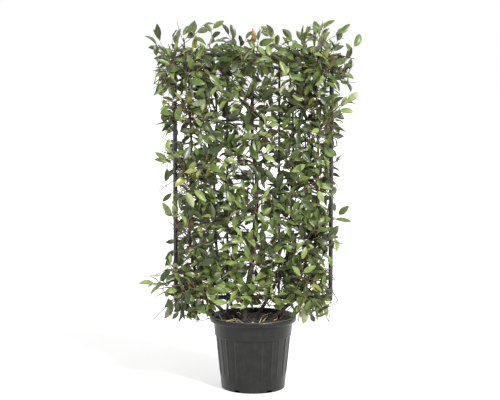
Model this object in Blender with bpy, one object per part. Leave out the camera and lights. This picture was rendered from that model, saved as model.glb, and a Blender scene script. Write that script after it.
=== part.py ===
"""Potted red robin photinia, trained flat on a steel trellis.

Metres, +Z up. The origin is the centre of the pot's flat underside, the plant's
front faces -Y and +X is its right-hand side as seen from the front. The pot, its
compost, every rod of the trellis, every stem and every mass of foliage is one
closed solid.
"""

import math
import random

import bmesh
import bpy
from mathutils import Matrix, Vector
from mathutils.bvhtree import BVHTree

# Clearance between touching pieces, and round a rod in its faceted socket
SEAT_GAP = 0.0003
FACET_GAP = 0.00045

# Pot: injection-moulded nursery pot of 25 litres
POT_HEIGHT = 0.303
POT_RIM_RADIUS = 0.180
POT_RIM_INNER_RADIUS = 0.168
POT_RIM_BAND = 0.022
POT_RIM_EDGE = 0.004
POT_COLLAR_TOP_HEIGHT = 0.263
POT_COLLAR_TOP_RADIUS = 0.163
POT_COLLAR_INNER_RADIUS = 0.159
POT_COLLAR_FOOT_RADIUS = 0.159
POT_COLLAR_FOOT_HEIGHT = 0.225
POT_BODY_TOP_HEIGHT = 0.221
POT_BODY_TOP_RADIUS = 0.1545
POT_BASE_RADIUS = 0.132
POT_WALL = 0.003
POT_FLOOR = 0.006
FLUTE_COUNT = 12
FLUTE_DEPTH = 0.0016
FLUTE_STEP_ANGLE = math.radians(2.0)
FLUTE_FOOT_HEIGHT = 0.050
FLUTE_RUN_OUT = 0.020
NOTCH_COUNT = 6
NOTCH_WIDTH = 0.024
NOTCH_HEIGHT = 0.009
NOTCH_DEPTH = 0.012
NOTCH_FIRST_ANGLE = math.radians(-120.0)
NOTCH_OVERCUT = 0.010
POT_SMOOTH_ANGLE = math.radians(35.0)

# Compost
SOIL_DROP = 0.020
SOCKET_FLOOR_HEIGHT = 0.100
SOCKET_OVERCUT = 0.010

# Trellis: bent outer tube, two legs that stand in the compost, thin wires
TRELLIS_WIDTH = 0.642
TRELLIS_FOOT_HEIGHT = 0.378
TRELLIS_HEIGHT = 1.000
TUBE_RADIUS = 0.009
CORNER_RADIUS = 0.035
CORNER_STEPS = 4
POST_OVERRUN = 0.014
LEG_RADIUS = 0.005
LEG_SPACING = TRELLIS_WIDTH / 3
WIRE_RADIUS = 0.003
WIRE_SPACING = TRELLIS_WIDTH / 3
CROSS_WIRE_HEIGHTS = (0.626, 0.871, 1.113, 1.326)
ROD_SIDES = 10
WIRE_SIDES = 6
ROD_SMOOTH_ANGLE = math.radians(40.0)

# Stems
STEM_SIDES = 6
STEM_RINGS = 9
STEM_FLARE = 1.35
STEM_FLARE_HEIGHT = 0.020
STEM_SMOOTH_ANGLE = math.radians(60.0)

# Leaves: lengths, then shares of a leaf's length
LEAF_LENGTH = (0.104, 0.134)
LEAF_WIDTH_SHARE = 0.43
LEAF_WIDEST_AT = 0.45
LEAF_THICKNESS_SHARE = 0.045
LEAF_DROOP_SHARE = 0.09
LEAF_ROOT_HALF = 0.0010
LEAF_SUNK_ROOT = 0.010

# How a leaf stands: weights of its twig's direction and of up, and how far along its twig it may lie
LEAF_ALONG_TWIG = 0.45
LEAF_LIFT = 0.15
LEAF_DEPTH_SPREAD = 0.45
LEAF_FACING_SHARE = 0.25
LEAF_MOST_ALIGNED = 0.93
BLADE_SPREAD = (0.40, 0.40, 0.35)
BLADE_LIFT = 0.30
BLADE_LEAST_TURN = 0.15

# Twigs
LEAD_TWIG_RADIUS = (0.0042, 0.0027)
LEAD_TWIG_KNEE = 0.016
LEAD_TWIG_BOW = 0.012
LEAD_TIP_DROP = 0.045
TOP_LEAD_TIP_DROP = 0.075
LEAD_START_RISE = 0.045
FIRST_LEAD_HEIGHT = 0.425
SIDE_TWIG_RADIUS = (0.0030, 0.0021)
SIDE_TWIG_REACH = 0.94
SIDE_TWIG_SUNK_SHARE = 0.16
SHORTEST_TWIG = 0.035
SHORTEST_SHOOT = 0.130
SHOOT_LEAF_SINK = 0.004
TWIG_SIDES = 3

# How a mass fills its space
SEED = 4711
SPACE_MARGIN = 0.0004
LIMB_CLEARANCE = 0.0010
PLACE_TRIES = 120
SHOOT_TRIES = 1440
EDGE_BONUS = 0.8
DEPTH_WEIGHT = 0.45
LEAVES_PER_SQUARE_METRE = {"front": 262, "back": 200}
LEAVES_PER_TWIG = 3.0

# Space of the crown: two layers of masses, before and behind the trellis
CROWN_FRONT = -0.150
CROWN_BACK = 0.155
FRONT_LAYER_INNER = -0.0105
BACK_LAYER_INNER = 0.0205
FRONT_COLUMN_EDGE = 0.128
ROW_EDGES = {
    ("front", "left"): (0.268, 0.560, 0.790, 1.020, 1.240, 1.523),
    ("front", "middle"): (0.320, 0.480, 0.690, 0.905, 1.120, 1.310, 1.500),
    ("front", "right"): (0.268, 0.545, 0.775, 1.000, 1.250, 1.523),
    ("back", "left"): (0.318, 0.610, 0.840, 1.070, 1.300, 1.500),
    ("back", "right"): (0.318, 0.625, 0.855, 1.080, 1.300, 1.500),
}
LEFT_REACH = (0.473, 0.376, 0.402, 0.405, 0.432)
RIGHT_REACH = (0.374, 0.386, 0.382, 0.428, 0.438)
BACK_REACH = 0.370

# Furthest tips of the crown by layer, row and column: (x, z) of a leaf's tip
LONG_SHOOTS = {
    ("front", 0, "left"): ((-0.472, 0.449), (-0.336, 0.269), (-0.215, 0.274)),
    ("front", 0, "right"): ((0.372, 0.420), (0.213, 0.274), (0.268, 0.300)),
    ("front", 1, "left"): ((-0.375, 0.780),),
    ("front", 1, "right"): ((0.385, 0.770),),
    ("front", 2, "left"): ((-0.400, 0.990),),
    ("front", 2, "right"): ((0.380, 0.985),),
    ("front", 3, "left"): ((-0.400, 1.110),),
    ("front", 3, "right"): ((0.427, 1.232),),
    ("front", 4, "left"): ((-0.236, 1.522), (-0.388, 1.504), (-0.430, 1.470)),
    ("front", 4, "right"): ((0.245, 1.521), (0.398, 1.503), (0.437, 1.468)),
    ("back", 4, "left"): ((-0.310, 1.485),),
    ("back", 4, "right"): ((0.120, 1.492), (0.310, 1.480)),
}

# Each stem: radius at its foot and tip, and the points that its line passes through
STEMS = {
    "main_stem": (0.0125, 0.0050, (
        (-0.040, -0.012, 0.283), (-0.030, -0.030, 0.385), (0.004, -0.029, 0.600),
        (0.014, -0.028, 0.860), (-0.006, -0.026, 1.100), (0.002, -0.028, 1.330))),
    "stem_left_outer": (0.0085, 0.0038, (
        (-0.080, -0.018, 0.283), (-0.158, -0.030, 0.360), (-0.232, -0.028, 0.470),
        (-0.262, -0.026, 0.640), (-0.252, -0.026, 0.950), (-0.262, -0.026, 1.258))),
    "stem_right_outer": (0.0085, 0.0038, (
        (0.070, -0.012, 0.283), (0.150, -0.030, 0.358), (0.228, -0.028, 0.470),
        (0.258, -0.026, 0.640), (0.266, -0.026, 0.950), (0.256, -0.026, 1.258))),
    "stem_left_inner": (0.0078, 0.0038, (
        (-0.066, 0.030, 0.283), (-0.108, 0.042, 0.385), (-0.150, 0.038, 0.560),
        (-0.162, 0.038, 0.800), (-0.150, 0.036, 1.060), (-0.158, 0.036, 1.318))),
    "stem_right_inner": (0.0078, 0.0038, (
        (0.010, 0.026, 0.283), (0.070, 0.042, 0.385), (0.146, 0.038, 0.560),
        (0.158, 0.038, 0.800), (0.166, 0.036, 1.060), (0.150, 0.036, 1.318))),
}

# Which stem carries each column of masses
CARRIERS = {
    ("front", "left"): "stem_left_outer",
    ("front", "middle"): "main_stem",
    ("front", "right"): "stem_right_outer",
    ("back", "left"): "stem_left_inner",
    ("back", "right"): "stem_right_inner",
}


def clear_scene():
    """Remove every object that the scene starts with."""
    for item in list(bpy.data.objects):
        bpy.data.objects.remove(item, do_unlink=True)


def finish(name, colour, roughness, metallic=0.0):
    """A Principled material of one plain colour."""
    material = bpy.data.materials.new(name)
    material.use_nodes = True
    shader = material.node_tree.nodes["Principled BSDF"]
    shader.inputs["Base Color"].default_value = (*colour, 1.0)
    shader.inputs["Roughness"].default_value = roughness
    shader.inputs["Metallic"].default_value = metallic
    material.diffuse_color = (*colour, 1.0)
    return material


def add_object(name, vertices, faces, material, smooth_angle=None):
    """Put a mesh in the scene with its faces turned outwards."""
    mesh = bpy.data.meshes.new(name)
    mesh.from_pydata([tuple(vertex) for vertex in vertices], [], faces)
    shape = bmesh.new()
    shape.from_mesh(mesh)
    bmesh.ops.recalc_face_normals(shape, faces=shape.faces)
    shape.to_mesh(mesh)
    shape.free()
    if smooth_angle is not None:
        mesh.shade_smooth()
        mesh.set_sharp_from_angle(angle=smooth_angle)
    if material is not None:
        mesh.materials.append(material)
    item = bpy.data.objects.new(name, mesh)
    bpy.context.scene.collection.objects.link(item)
    return item


def spline(points, count):
    """Even samples of a smooth curve that passes through the points."""
    ends = [points[0] * 2 - points[1], *points, points[-1] * 2 - points[-2]]
    spans = len(points) - 1
    samples = []
    for index in range(count):
        place = spans * index / (count - 1)
        span = min(int(place), spans - 1)
        t = place - span
        a, b, c, d = ends[span:span + 4]
        samples.append(0.5 * (2 * b + (c - a) * t + (2 * a - 5 * b + 4 * c - d) * t ** 2
                              + (3 * b - a - 3 * c + d) * t ** 3))
    return samples


def sweep(path, radii, sides, first_tangent=None, last_tangent=None):
    """A closed tapering tube with flat ends along a path, square to any tangent that is given."""
    tangents = []
    for index in range(len(path)):
        before = path[max(index - 1, 0)]
        after = path[min(index + 1, len(path) - 1)]
        tangents.append((after - before).normalized())
    if first_tangent is not None:
        tangents[0] = first_tangent
    if last_tangent is not None:
        tangents[-1] = last_tangent
    across = tangents[0].orthogonal().normalized()
    vertices = []
    for point, tangent, radius in zip(path, tangents, radii):
        across = (across - tangent * across.dot(tangent)).normalized()
        other = tangent.cross(across)
        for side in range(sides):
            angle = 2 * math.pi * side / sides
            vertices.append(point + (across * math.cos(angle) + other * math.sin(angle)) * radius)
    faces = []
    for ring in range(len(path) - 1):
        for side in range(sides):
            following = (side + 1) % sides
            faces.append((ring * sides + side, ring * sides + following,
                          (ring + 1) * sides + following, (ring + 1) * sides + side))
    faces.append(tuple(range(sides))[::-1])
    last = (len(path) - 1) * sides
    faces.append(tuple(last + side for side in range(sides)))
    return vertices, faces


def lathe(rings, angles):
    """A closed turned shape. Each ring is a list of radii, one for each angle, and a height."""
    count = len(angles)
    vertices = []
    faces = []
    for radii, height in rings:
        for radius, angle in zip(radii, angles):
            vertices.append(Vector((radius * math.cos(angle), radius * math.sin(angle), height)))
    for ring in range(len(rings) - 1):
        for side in range(count):
            following = (side + 1) % count
            faces.append((ring * count + side, ring * count + following,
                          (ring + 1) * count + following, (ring + 1) * count + side))
    faces.append(tuple(range(count)))
    last = (len(rings) - 1) * count
    faces.append(tuple(last + side for side in range(count)))
    return vertices, faces


def cut(item, cutter):
    """Cut a hidden shape out of an object."""
    cutter.hide_render = True
    cutter.display_type = "WIRE"
    modifier = item.modifiers.new("cut", "BOOLEAN")
    modifier.operation = "DIFFERENCE"
    modifier.solver = "EXACT"
    modifier.object = cutter


def panel_angles():
    """The pot's corner angles, with whether each lies in a recessed panel."""
    angles = []
    pitch = math.pi / FLUTE_COUNT
    for panel in range(2 * FLUTE_COUNT):
        start = panel * pitch + FLUTE_STEP_ANGLE / 2
        end = (panel + 1) * pitch - FLUTE_STEP_ANGLE / 2
        angles += [(start, panel % 2 == 1), (end, panel % 2 == 1)]
    return angles


def inner_radius(height):
    """Radius of the pot's inner wall at a height."""
    stations = ((POT_FLOOR, POT_BASE_RADIUS - POT_WALL),
                (POT_BODY_TOP_HEIGHT, POT_BODY_TOP_RADIUS - POT_WALL - FLUTE_DEPTH / 2),
                (POT_COLLAR_TOP_HEIGHT, POT_COLLAR_INNER_RADIUS),
                (POT_HEIGHT, POT_RIM_INNER_RADIUS))
    for (low, low_radius), (high, high_radius) in zip(stations, stations[1:]):
        if height <= high:
            share = (height - low) / (high - low)
            return low_radius + (high_radius - low_radius) * share
    return POT_RIM_INNER_RADIUS


def pot_rings():
    """The pot's section, from the underside up the outside, over the rim and down inside."""
    angles = panel_angles()
    band_foot = POT_HEIGHT - POT_RIM_BAND

    def plain(radius, height):
        return [radius] * len(angles), height

    def body_radius(height):
        return POT_BASE_RADIUS + (POT_BODY_TOP_RADIUS - POT_BASE_RADIUS) * height / POT_BODY_TOP_HEIGHT

    def fluted(height):
        return [body_radius(height) - FLUTE_DEPTH * recessed for _, recessed in angles], height

    return [
        plain(POT_BASE_RADIUS, 0.0),
        plain(body_radius(FLUTE_FOOT_HEIGHT), FLUTE_FOOT_HEIGHT),
        fluted(FLUTE_FOOT_HEIGHT + FLUTE_RUN_OUT),
        fluted(POT_BODY_TOP_HEIGHT),
        plain(POT_COLLAR_FOOT_RADIUS, POT_COLLAR_FOOT_HEIGHT),
        plain(POT_COLLAR_TOP_RADIUS, POT_COLLAR_TOP_HEIGHT),
        plain(POT_RIM_RADIUS - POT_RIM_EDGE, band_foot),
        plain(POT_RIM_RADIUS, band_foot + POT_RIM_EDGE),
        plain(POT_RIM_RADIUS, POT_HEIGHT),
        plain(POT_RIM_INNER_RADIUS, POT_HEIGHT),
        plain(inner_radius(POT_COLLAR_TOP_HEIGHT), POT_COLLAR_TOP_HEIGHT),
        plain(inner_radius(POT_BODY_TOP_HEIGHT), POT_BODY_TOP_HEIGHT),
        plain(inner_radius(POT_FLOOR), POT_FLOOR),
    ]


def box_shape(low, high, turn):
    """A box between two corners, turned."""
    vertices = [turn @ Vector((x, y, z)) for x in (low[0], high[0]) for y in (low[1], high[1])
                for z in (low[2], high[2])]
    faces = [(0, 1, 3, 2), (4, 6, 7, 5), (0, 4, 5, 1), (2, 3, 7, 6), (0, 2, 6, 4), (1, 5, 7, 3)]
    return vertices, faces


def merged(shapes):
    """Several shapes as one list of vertices and one of faces."""
    vertices = []
    faces = []
    for shape_vertices, shape_faces in shapes:
        base = len(vertices)
        vertices.extend(shape_vertices)
        faces.extend(tuple(base + corner for corner in face) for face in shape_faces)
    return vertices, faces


def build_pot(material):
    """The pot: one moulded shell with a rim band, a collar, shallow flutes and drain notches."""
    angles = [angle for angle, _ in panel_angles()]
    pot = add_object("pot", *lathe(pot_rings(), angles), material, POT_SMOOTH_ANGLE)
    low = (POT_BASE_RADIUS - NOTCH_DEPTH, -NOTCH_WIDTH / 2, -NOTCH_OVERCUT)
    high = (POT_BASE_RADIUS + NOTCH_OVERCUT, NOTCH_WIDTH / 2, NOTCH_HEIGHT)
    turns = [Matrix.Rotation(NOTCH_FIRST_ANGLE + 2 * math.pi * index / NOTCH_COUNT, 4, "Z")
             for index in range(NOTCH_COUNT)]
    cut(pot, add_object("notch_cutter", *merged(box_shape(low, high, turn) for turn in turns), None))


def build_soil(material):
    """The compost: it fills the pot and has a socket for each leg of the trellis."""
    top = POT_HEIGHT - SOIL_DROP
    angles = [angle for angle, _ in panel_angles()][::2]
    heights = (POT_FLOOR + SEAT_GAP, POT_BODY_TOP_HEIGHT, POT_COLLAR_TOP_HEIGHT, top)
    rings = [([inner_radius(height) - FACET_GAP] * len(angles), height) for height in heights]
    soil = add_object("soil", *lathe(rings, angles), material, POT_SMOOTH_ANGLE)
    radius = LEG_RADIUS + FACET_GAP
    for index, x in enumerate((-LEG_SPACING / 2, LEG_SPACING / 2)):
        path = [Vector((x, leg_depth(), SOCKET_FLOOR_HEIGHT)),
                Vector((x, leg_depth(), top + SOCKET_OVERCUT))]
        cutter = add_object(f"socket_cutter_{index + 1}", *sweep(path, [radius] * 2, ROD_SIDES), None)
        cut(soil, cutter)


def leg_depth():
    """How far behind the outer tube's plane the legs stand."""
    return TUBE_RADIUS + LEG_RADIUS + SEAT_GAP


def cross_wire_depth():
    """The cross wires lie on the front of the legs."""
    return leg_depth() - LEG_RADIUS - SEAT_GAP - WIRE_RADIUS


def upright_wire_depth():
    """The upright wires lie on the front of the cross wires."""
    return cross_wire_depth() - 2 * WIRE_RADIUS - SEAT_GAP


def post_path(side):
    """The line of an outer post with its bent upper corner. Side is -1 or 1."""
    x = side * TRELLIS_WIDTH / 2
    top = TRELLIS_FOOT_HEIGHT + TRELLIS_HEIGHT
    path = [Vector((x, 0, TRELLIS_FOOT_HEIGHT - POST_OVERRUN)), Vector((x, 0, top - CORNER_RADIUS))]
    for step in range(1, CORNER_STEPS + 1):
        angle = math.pi / 2 * step / CORNER_STEPS
        path.append(Vector((x - side * CORNER_RADIUS * (1 - math.cos(angle)), 0,
                            top - CORNER_RADIUS * (1 - math.sin(angle)))))
    return path


def trellis_rods():
    """Every rod of the trellis: name, path, radius, sides."""
    half = TRELLIS_WIDTH / 2
    foot = TRELLIS_FOOT_HEIGHT
    top = foot + TRELLIS_HEIGHT
    rods = [("post_left", post_path(-1), TUBE_RADIUS, ROD_SIDES),
            ("post_right", post_path(1), TUBE_RADIUS, ROD_SIDES)]
    rail_end = half - CORNER_RADIUS - SEAT_GAP
    rods.append(("top_rail", [Vector((-rail_end, 0, top)), Vector((rail_end, 0, top))],
                 TUBE_RADIUS, ROD_SIDES))
    rail_end = half - TUBE_RADIUS - SEAT_GAP
    rods.append(("bottom_rail", [Vector((-rail_end, 0, foot)), Vector((rail_end, 0, foot))],
                 TUBE_RADIUS, ROD_SIDES))
    for name, x in (("leg_left", -LEG_SPACING / 2), ("leg_right", LEG_SPACING / 2)):
        path = [Vector((x, leg_depth(), SOCKET_FLOOR_HEIGHT + SEAT_GAP)),
                Vector((x, leg_depth(), top + TUBE_RADIUS))]
        rods.append((name, path, LEG_RADIUS, ROD_SIDES))
    clear = TUBE_RADIUS + SEAT_GAP
    for name, x in (("upright_wire_left", -WIRE_SPACING), ("upright_wire_middle", 0.0),
                    ("upright_wire_right", WIRE_SPACING)):
        depth = upright_wire_depth()
        path = [Vector((x, depth, foot + clear)), Vector((x, depth, top - clear))]
        rods.append((name, path, WIRE_RADIUS, WIRE_SIDES))
    near_edge = cross_wire_depth() - WIRE_RADIUS
    reach = half - math.sqrt(clear ** 2 - near_edge ** 2)
    for index, height in enumerate(CROSS_WIRE_HEIGHTS):
        path = [Vector((-reach, cross_wire_depth(), height)), Vector((reach, cross_wire_depth(), height))]
        rods.append((f"cross_wire_{index + 1}", path, WIRE_RADIUS, WIRE_SIDES))
    return rods


def rod_shape(path, radius, sides):
    """A rod of one thickness. A bent post's upper end is square to the top rail."""
    last_tangent = Vector((-path[-1].x, 0, 0)).normalized() if len(path) > 2 else None
    return sweep(path, [radius] * len(path), sides, last_tangent=last_tangent)


def build_trellis(material):
    """The trellis: bent posts, two rails, two legs and the thin wires between them."""
    for name, path, radius, sides in trellis_rods():
        add_object(name, *rod_shape(path, radius, sides), material, ROD_SMOOTH_ANGLE)


def stem_line(name):
    """The rings of a stem: its path and radii, from a flared flat cut to its tip."""
    foot_radius, tip_radius, marks = STEMS[name]
    path = spline([Vector(mark) for mark in marks], STEM_RINGS)
    path[0].z += SEAT_GAP
    radii = [foot_radius + (tip_radius - foot_radius) * index / (STEM_RINGS - 1)
             for index in range(STEM_RINGS)]
    neck = path[0].lerp(path[1], STEM_FLARE_HEIGHT / (path[1] - path[0]).length)
    path.insert(1, neck)
    radii.insert(1, radii[0])
    radii[0] *= STEM_FLARE
    return path, radii


def stem_shape(name, grown=0.0):
    """A stem's shape, grown by a distance all round."""
    path, radii = stem_line(name)
    return sweep(path, [radius + grown for radius in radii], STEM_SIDES, Vector((0, 0, 1)))


def build_stems(material):
    """The stems: each one tapering limb from the compost to its tip inside the crown."""
    for name in STEMS:
        add_object(name, *stem_shape(name), material, STEM_SMOOTH_ANGLE)


def obstacle_tree():
    """Everything that a twig or leaf must clear, each piece grown by the clearance."""
    shapes = [rod_shape(path, radius + LIMB_CLEARANCE, sides) for _, path, radius, sides in trellis_rods()]
    shapes += [stem_shape(name, LIMB_CLEARANCE) for name in STEMS]
    outside = pot_rings()[:-4]
    rim = [([radius + LIMB_CLEARANCE for radius in radii], height + LIMB_CLEARANCE)
           for radii, height in outside]
    shapes.append(lathe(rim, [angle for angle, _ in panel_angles()]))
    return BVHTree.FromPolygons(*merged(shapes))


def leaf_shape(root, along, face, length):
    """A leaf: a keeled blade, bent across at its widest, with a stout root and a drooping tip."""
    side = along.cross(face).normalized()
    tip = root + along * length - face * length * LEAF_DROOP_SHARE
    upper_root = root + face * LEAF_ROOT_HALF
    lower_root = root - face * LEAF_ROOT_HALF
    middle = lower_root.lerp(tip, LEAF_WIDEST_AT) + face * length * LEAF_THICKNESS_SHARE
    half = side * length * LEAF_WIDTH_SHARE / 2
    vertices = [upper_root, lower_root, middle - half, middle + half, tip]
    faces = [(0, 2, 3), (2, 4, 3), (1, 4, 2), (1, 3, 4), (0, 1, 2), (0, 3, 1)]
    return vertices, faces


def free_part(leaf, along):
    """A leaf without the root that it sinks into its twig."""
    vertices, faces = leaf
    moved = along * LEAF_SUNK_ROOT
    return [vertices[0] + moved, vertices[1] + moved, *vertices[2:]], faces


def twig_shape(start, end, radii):
    """A three-sided tapering twig."""
    return sweep([start, end], radii, TWIG_SIDES)


class Mass:
    """One mass of foliage: twigs that branch from one lead twig, with leaves on them."""

    def __init__(self, name, low, high, facing, obstacles, dice):
        self.name = name
        self.low = low
        self.high = high
        self.facing = facing
        self.obstacles = obstacles
        self.dice = dice
        self.shapes = []
        self.twigs = []
        self.leaf_centres = []
        self.own = None

    def holds(self, vertices):
        """Whether all the points lie inside the mass's own space."""
        return all(self.low[axis] + SPACE_MARGIN <= vertex[axis] <= self.high[axis] - SPACE_MARGIN
                   for vertex in vertices for axis in range(3))

    def clears(self, shape):
        """Whether a shape touches no limb, rod or pot."""
        return not BVHTree.FromPolygons(*shape).overlap(self.obstacles)

    def crosses_none(self, shape):
        """Whether a shape's free part crosses none of the mass's own twigs and leaves."""
        return self.own is None or not BVHTree.FromPolygons(*shape).overlap(self.own)

    def fits(self, shape):
        """Whether a shape stays in its space and crosses nothing."""
        return self.holds(shape[0]) and self.clears(shape) and self.crosses_none(shape)

    def add_shapes(self, *shapes):
        """Add twigs or leaves, and remember where they are."""
        self.shapes += shapes
        self.own = BVHTree.FromPolygons(*merged(self.shapes))

    def place(self, shares):
        """A point of the space by its shares of the way from the lowest to the highest corner."""
        return Vector([low + (high - low) * share for low, high, share in zip(self.low, self.high, shares)])

    def grow_lead(self, root, outward, drop):
        """The lead twig: square off its limb, then on to the far end of its space."""
        tip = self.place((0.5, 0.5, 1.0)) - Vector((0, 0, drop))
        knee = root + outward * LEAD_TWIG_KNEE
        path = [root, knee, knee.lerp(tip, 0.5) + outward * LEAD_TWIG_BOW, tip]
        thick, thin = LEAD_TWIG_RADIUS
        self.add_shapes(sweep(path, [thick, thick, (thick + thin) / 2, thin], TWIG_SIDES))
        self.twigs += [(path[1], path[2]), (path[2], path[3])]

    def free_twig(self, root, tip):
        """A side twig without the part that it sinks into its parent."""
        return twig_shape(root.lerp(tip, SIDE_TWIG_SUNK_SHARE), tip, SIDE_TWIG_RADIUS)

    def grow_side_twigs(self, count):
        """Side twigs that reach out into the emptier parts of the space."""
        dice = self.dice
        leads = list(self.twigs)
        for _ in range(count):
            best = None
            for _ in range(PLACE_TRIES):
                start, end = dice.choice(leads)
                root = start.lerp(end, dice.uniform(0.1, 0.95))
                aim = self.place([dice.uniform(0.06, 0.94) for _ in range(3)])
                tip = root.lerp(aim, SIDE_TWIG_REACH)
                if (tip - root).length < SHORTEST_TWIG or not self.fits(self.free_twig(root, tip)):
                    continue
                room = min((tip - other_end).length for _, other_end in self.twigs)
                if best is None or room > best[0]:
                    best = (room, root, tip)
            if best is not None:
                self.add_shapes(twig_shape(best[1], best[2], SIDE_TWIG_RADIUS))
                self.twigs.append((best[1], best[2]))

    def grow_shoot(self, tip_x, tip_z):
        """A long shoot whose end leaf reaches one of the crown's furthest points, where it has room."""
        dice = self.dice
        length = LEAF_LENGTH[0]
        for _ in range(SHOOT_TRIES):
            depth = self.place((0, dice.uniform(0.15, 0.85), 0)).y
            tip = Vector((tip_x, depth, tip_z))
            start, end = dice.choice(self.twigs[:2])
            root = start.lerp(end, dice.uniform(0.1, 0.9))
            reach = tip - root
            if reach.length < SHORTEST_SHOOT:
                continue
            along = reach.normalized()
            face = self.blade_facing(along)
            if face is None:
                continue
            droop = face * length * LEAF_DROOP_SHARE
            along = (along * length + droop).normalized()
            base = tip - along * length + droop
            twig_end = base + (base - root).normalized() * SHOOT_LEAF_SINK
            leaf = leaf_shape(base, along, face, length)
            if self.fits(leaf) and self.fits(self.free_twig(root, twig_end)):
                self.add_shapes(twig_shape(root, twig_end, SIDE_TWIG_RADIUS), leaf)
                self.twigs.append((root, twig_end))
                self.leaf_centres.append(base.lerp(tip, 0.5))
                return

    def point_on_twigs(self):
        """A point on a twig, away from its root, with the twig's direction."""
        spans = [(end - start).length for start, end in self.twigs]
        start, end = self.dice.choices(self.twigs, spans)[0]
        return start.lerp(end, self.dice.uniform(0.15, 0.97)), (end - start).normalized()

    def blade_facing(self, along):
        """The direction that a leaf's upper face looks in: outwards and up, loosely."""
        wish = Vector((self.dice.gauss(0, BLADE_SPREAD[0]), self.dice.gauss(self.facing, BLADE_SPREAD[1]),
                       self.dice.gauss(BLADE_LIFT, BLADE_SPREAD[2])))
        face = wish - along * wish.dot(along)
        return face.normalized() if face.length > BLADE_LEAST_TURN else None

    def leaf_direction(self, run):
        """The direction that a leaf grows in on a twig, or nothing where it would lie along it."""
        aim = Vector((self.dice.gauss(0, 1), self.dice.gauss(self.facing * LEAF_FACING_SHARE,
                                                             LEAF_DEPTH_SPREAD), self.dice.gauss(0, 1)))
        along = (aim.normalized() + run * LEAF_ALONG_TWIG + Vector((0, 0, LEAF_LIFT))).normalized()
        return along if abs(along.dot(run)) <= LEAF_MOST_ALIGNED else None

    def room_at(self, centre):
        """How much room a leaf has at a place, with a bonus near the border of the space."""
        room = min([spread(centre - other) for other in self.leaf_centres] or [1.0])
        half = (self.high - self.low) / 2
        offset = centre - self.place((0.5, 0.5, 0.5))
        return room * (1 + EDGE_BONUS * max(abs(offset.x) / half.x, abs(offset.z) / half.z))

    def grow_leaves(self, count):
        """Leaves spread evenly, each where the mass has the most room for it."""
        for _ in range(count):
            best = None
            for _ in range(PLACE_TRIES):
                root, run = self.point_on_twigs()
                length = self.dice.uniform(*LEAF_LENGTH)
                along = self.leaf_direction(run)
                face = self.blade_facing(along) if along else None
                if face is None:
                    continue
                shape = leaf_shape(root, along, face, length)
                centre = root + along * length * 0.5
                room = self.room_at(centre)
                if not self.holds(shape[0]) or (best is not None and room <= best[0]):
                    continue
                if self.clears(shape) and self.crosses_none(free_part(shape, along)):
                    best = (room, shape, centre)
            if best is not None:
                self.add_shapes(best[1])
                self.leaf_centres.append(best[2])

    def fuse(self, material):
        """Join the twigs and leaves into one closed solid, without loose scraps."""
        parts = [add_object(f"{self.name}_part_{index}", *shape, None)
                 for index, shape in enumerate(self.shapes)]
        mass = parts[0]
        mass.name = self.name
        mass.data.materials.append(material)
        others = bpy.data.collections.new(self.name + "_parts")
        bpy.context.scene.collection.children.link(others)
        for part in parts[1:]:
            bpy.context.scene.collection.objects.unlink(part)
            others.objects.link(part)
        join = mass.modifiers.new("join", "BOOLEAN")
        join.operation = "UNION"
        join.operand_type = "COLLECTION"
        join.solver = "EXACT"
        join.collection = others
        bpy.context.view_layer.update()
        joined = bpy.data.meshes.new_from_object(mass.evaluated_get(bpy.context.evaluated_depsgraph_get()))
        mass.modifiers.clear()
        mass.data = joined
        for part in parts[1:]:
            bpy.data.objects.remove(part, do_unlink=True)
        bpy.data.collections.remove(others)
        keep_largest_piece(mass)


def spread(offset):
    """Distance between two leaves as the front or back shows it, with less weight on depth."""
    return Vector((offset.x, offset.y * DEPTH_WEIGHT, offset.z)).length


def keep_largest_piece(item):
    """Drop loose scraps: only the connected piece with the most faces stays."""
    shape = bmesh.new()
    shape.from_mesh(item.data)
    groups = []
    unseen = set(shape.faces)
    while unseen:
        group = []
        todo = [unseen.pop()]
        while todo:
            face = todo.pop()
            group.append(face)
            linked = {other for edge in face.edges for other in edge.link_faces} & unseen
            unseen -= linked
            todo += linked
        groups.append(group)
    groups.sort(key=len)
    for group in groups[:-1]:
        bmesh.ops.delete(shape, geom=group, context="FACES")
    shape.to_mesh(item.data)
    shape.free()


def limb_at(name, height):
    """Centre and direction of a stem at a height."""
    path, _ = stem_line(name)
    for low, high in zip(path[1:], path[2:]):
        if low.z <= height <= high.z:
            return low.lerp(high, (height - low.z) / (high.z - low.z)), (high - low).normalized()
    raise ValueError(f"{name} doesn't reach {height}")


def surface_distance(name, centre, outward):
    """How far a stem's surface stands out from its centre line under the flat end of a lead twig."""
    tree = BVHTree.FromPolygons(*stem_shape(name))
    across = outward.orthogonal().normalized() * LEAD_TWIG_RADIUS[0]
    other = outward.cross(across)
    far = outward * 2 * STEMS[name][0]
    furthest = 0.0
    for column in range(5):
        for row in range(5):
            offset = across * (column / 2 - 1) + other * (row / 2 - 1)
            hit = tree.ray_cast(centre + offset + far, -outward)[0]
            if hit is not None:
                furthest = max(furthest, (hit - centre).dot(outward))
    return furthest


def lead_start(stem, row, rows, foot, facing):
    """Where a mass's lead twig starts and in which direction: on the stem's side, or on its tip."""
    if row == rows - 1:
        path, _ = stem_line(stem)
        run = (path[-1] - path[-2]).normalized()
        return path[-1] + run * SEAT_GAP, run
    centre, run = limb_at(stem, foot + LEAD_START_RISE if row else FIRST_LEAD_HEIGHT)
    outward = Vector((0, facing, 0))
    outward = (outward - run * outward.dot(run)).normalized()
    return centre + outward * (surface_distance(stem, centre, outward) + SEAT_GAP), outward


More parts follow.
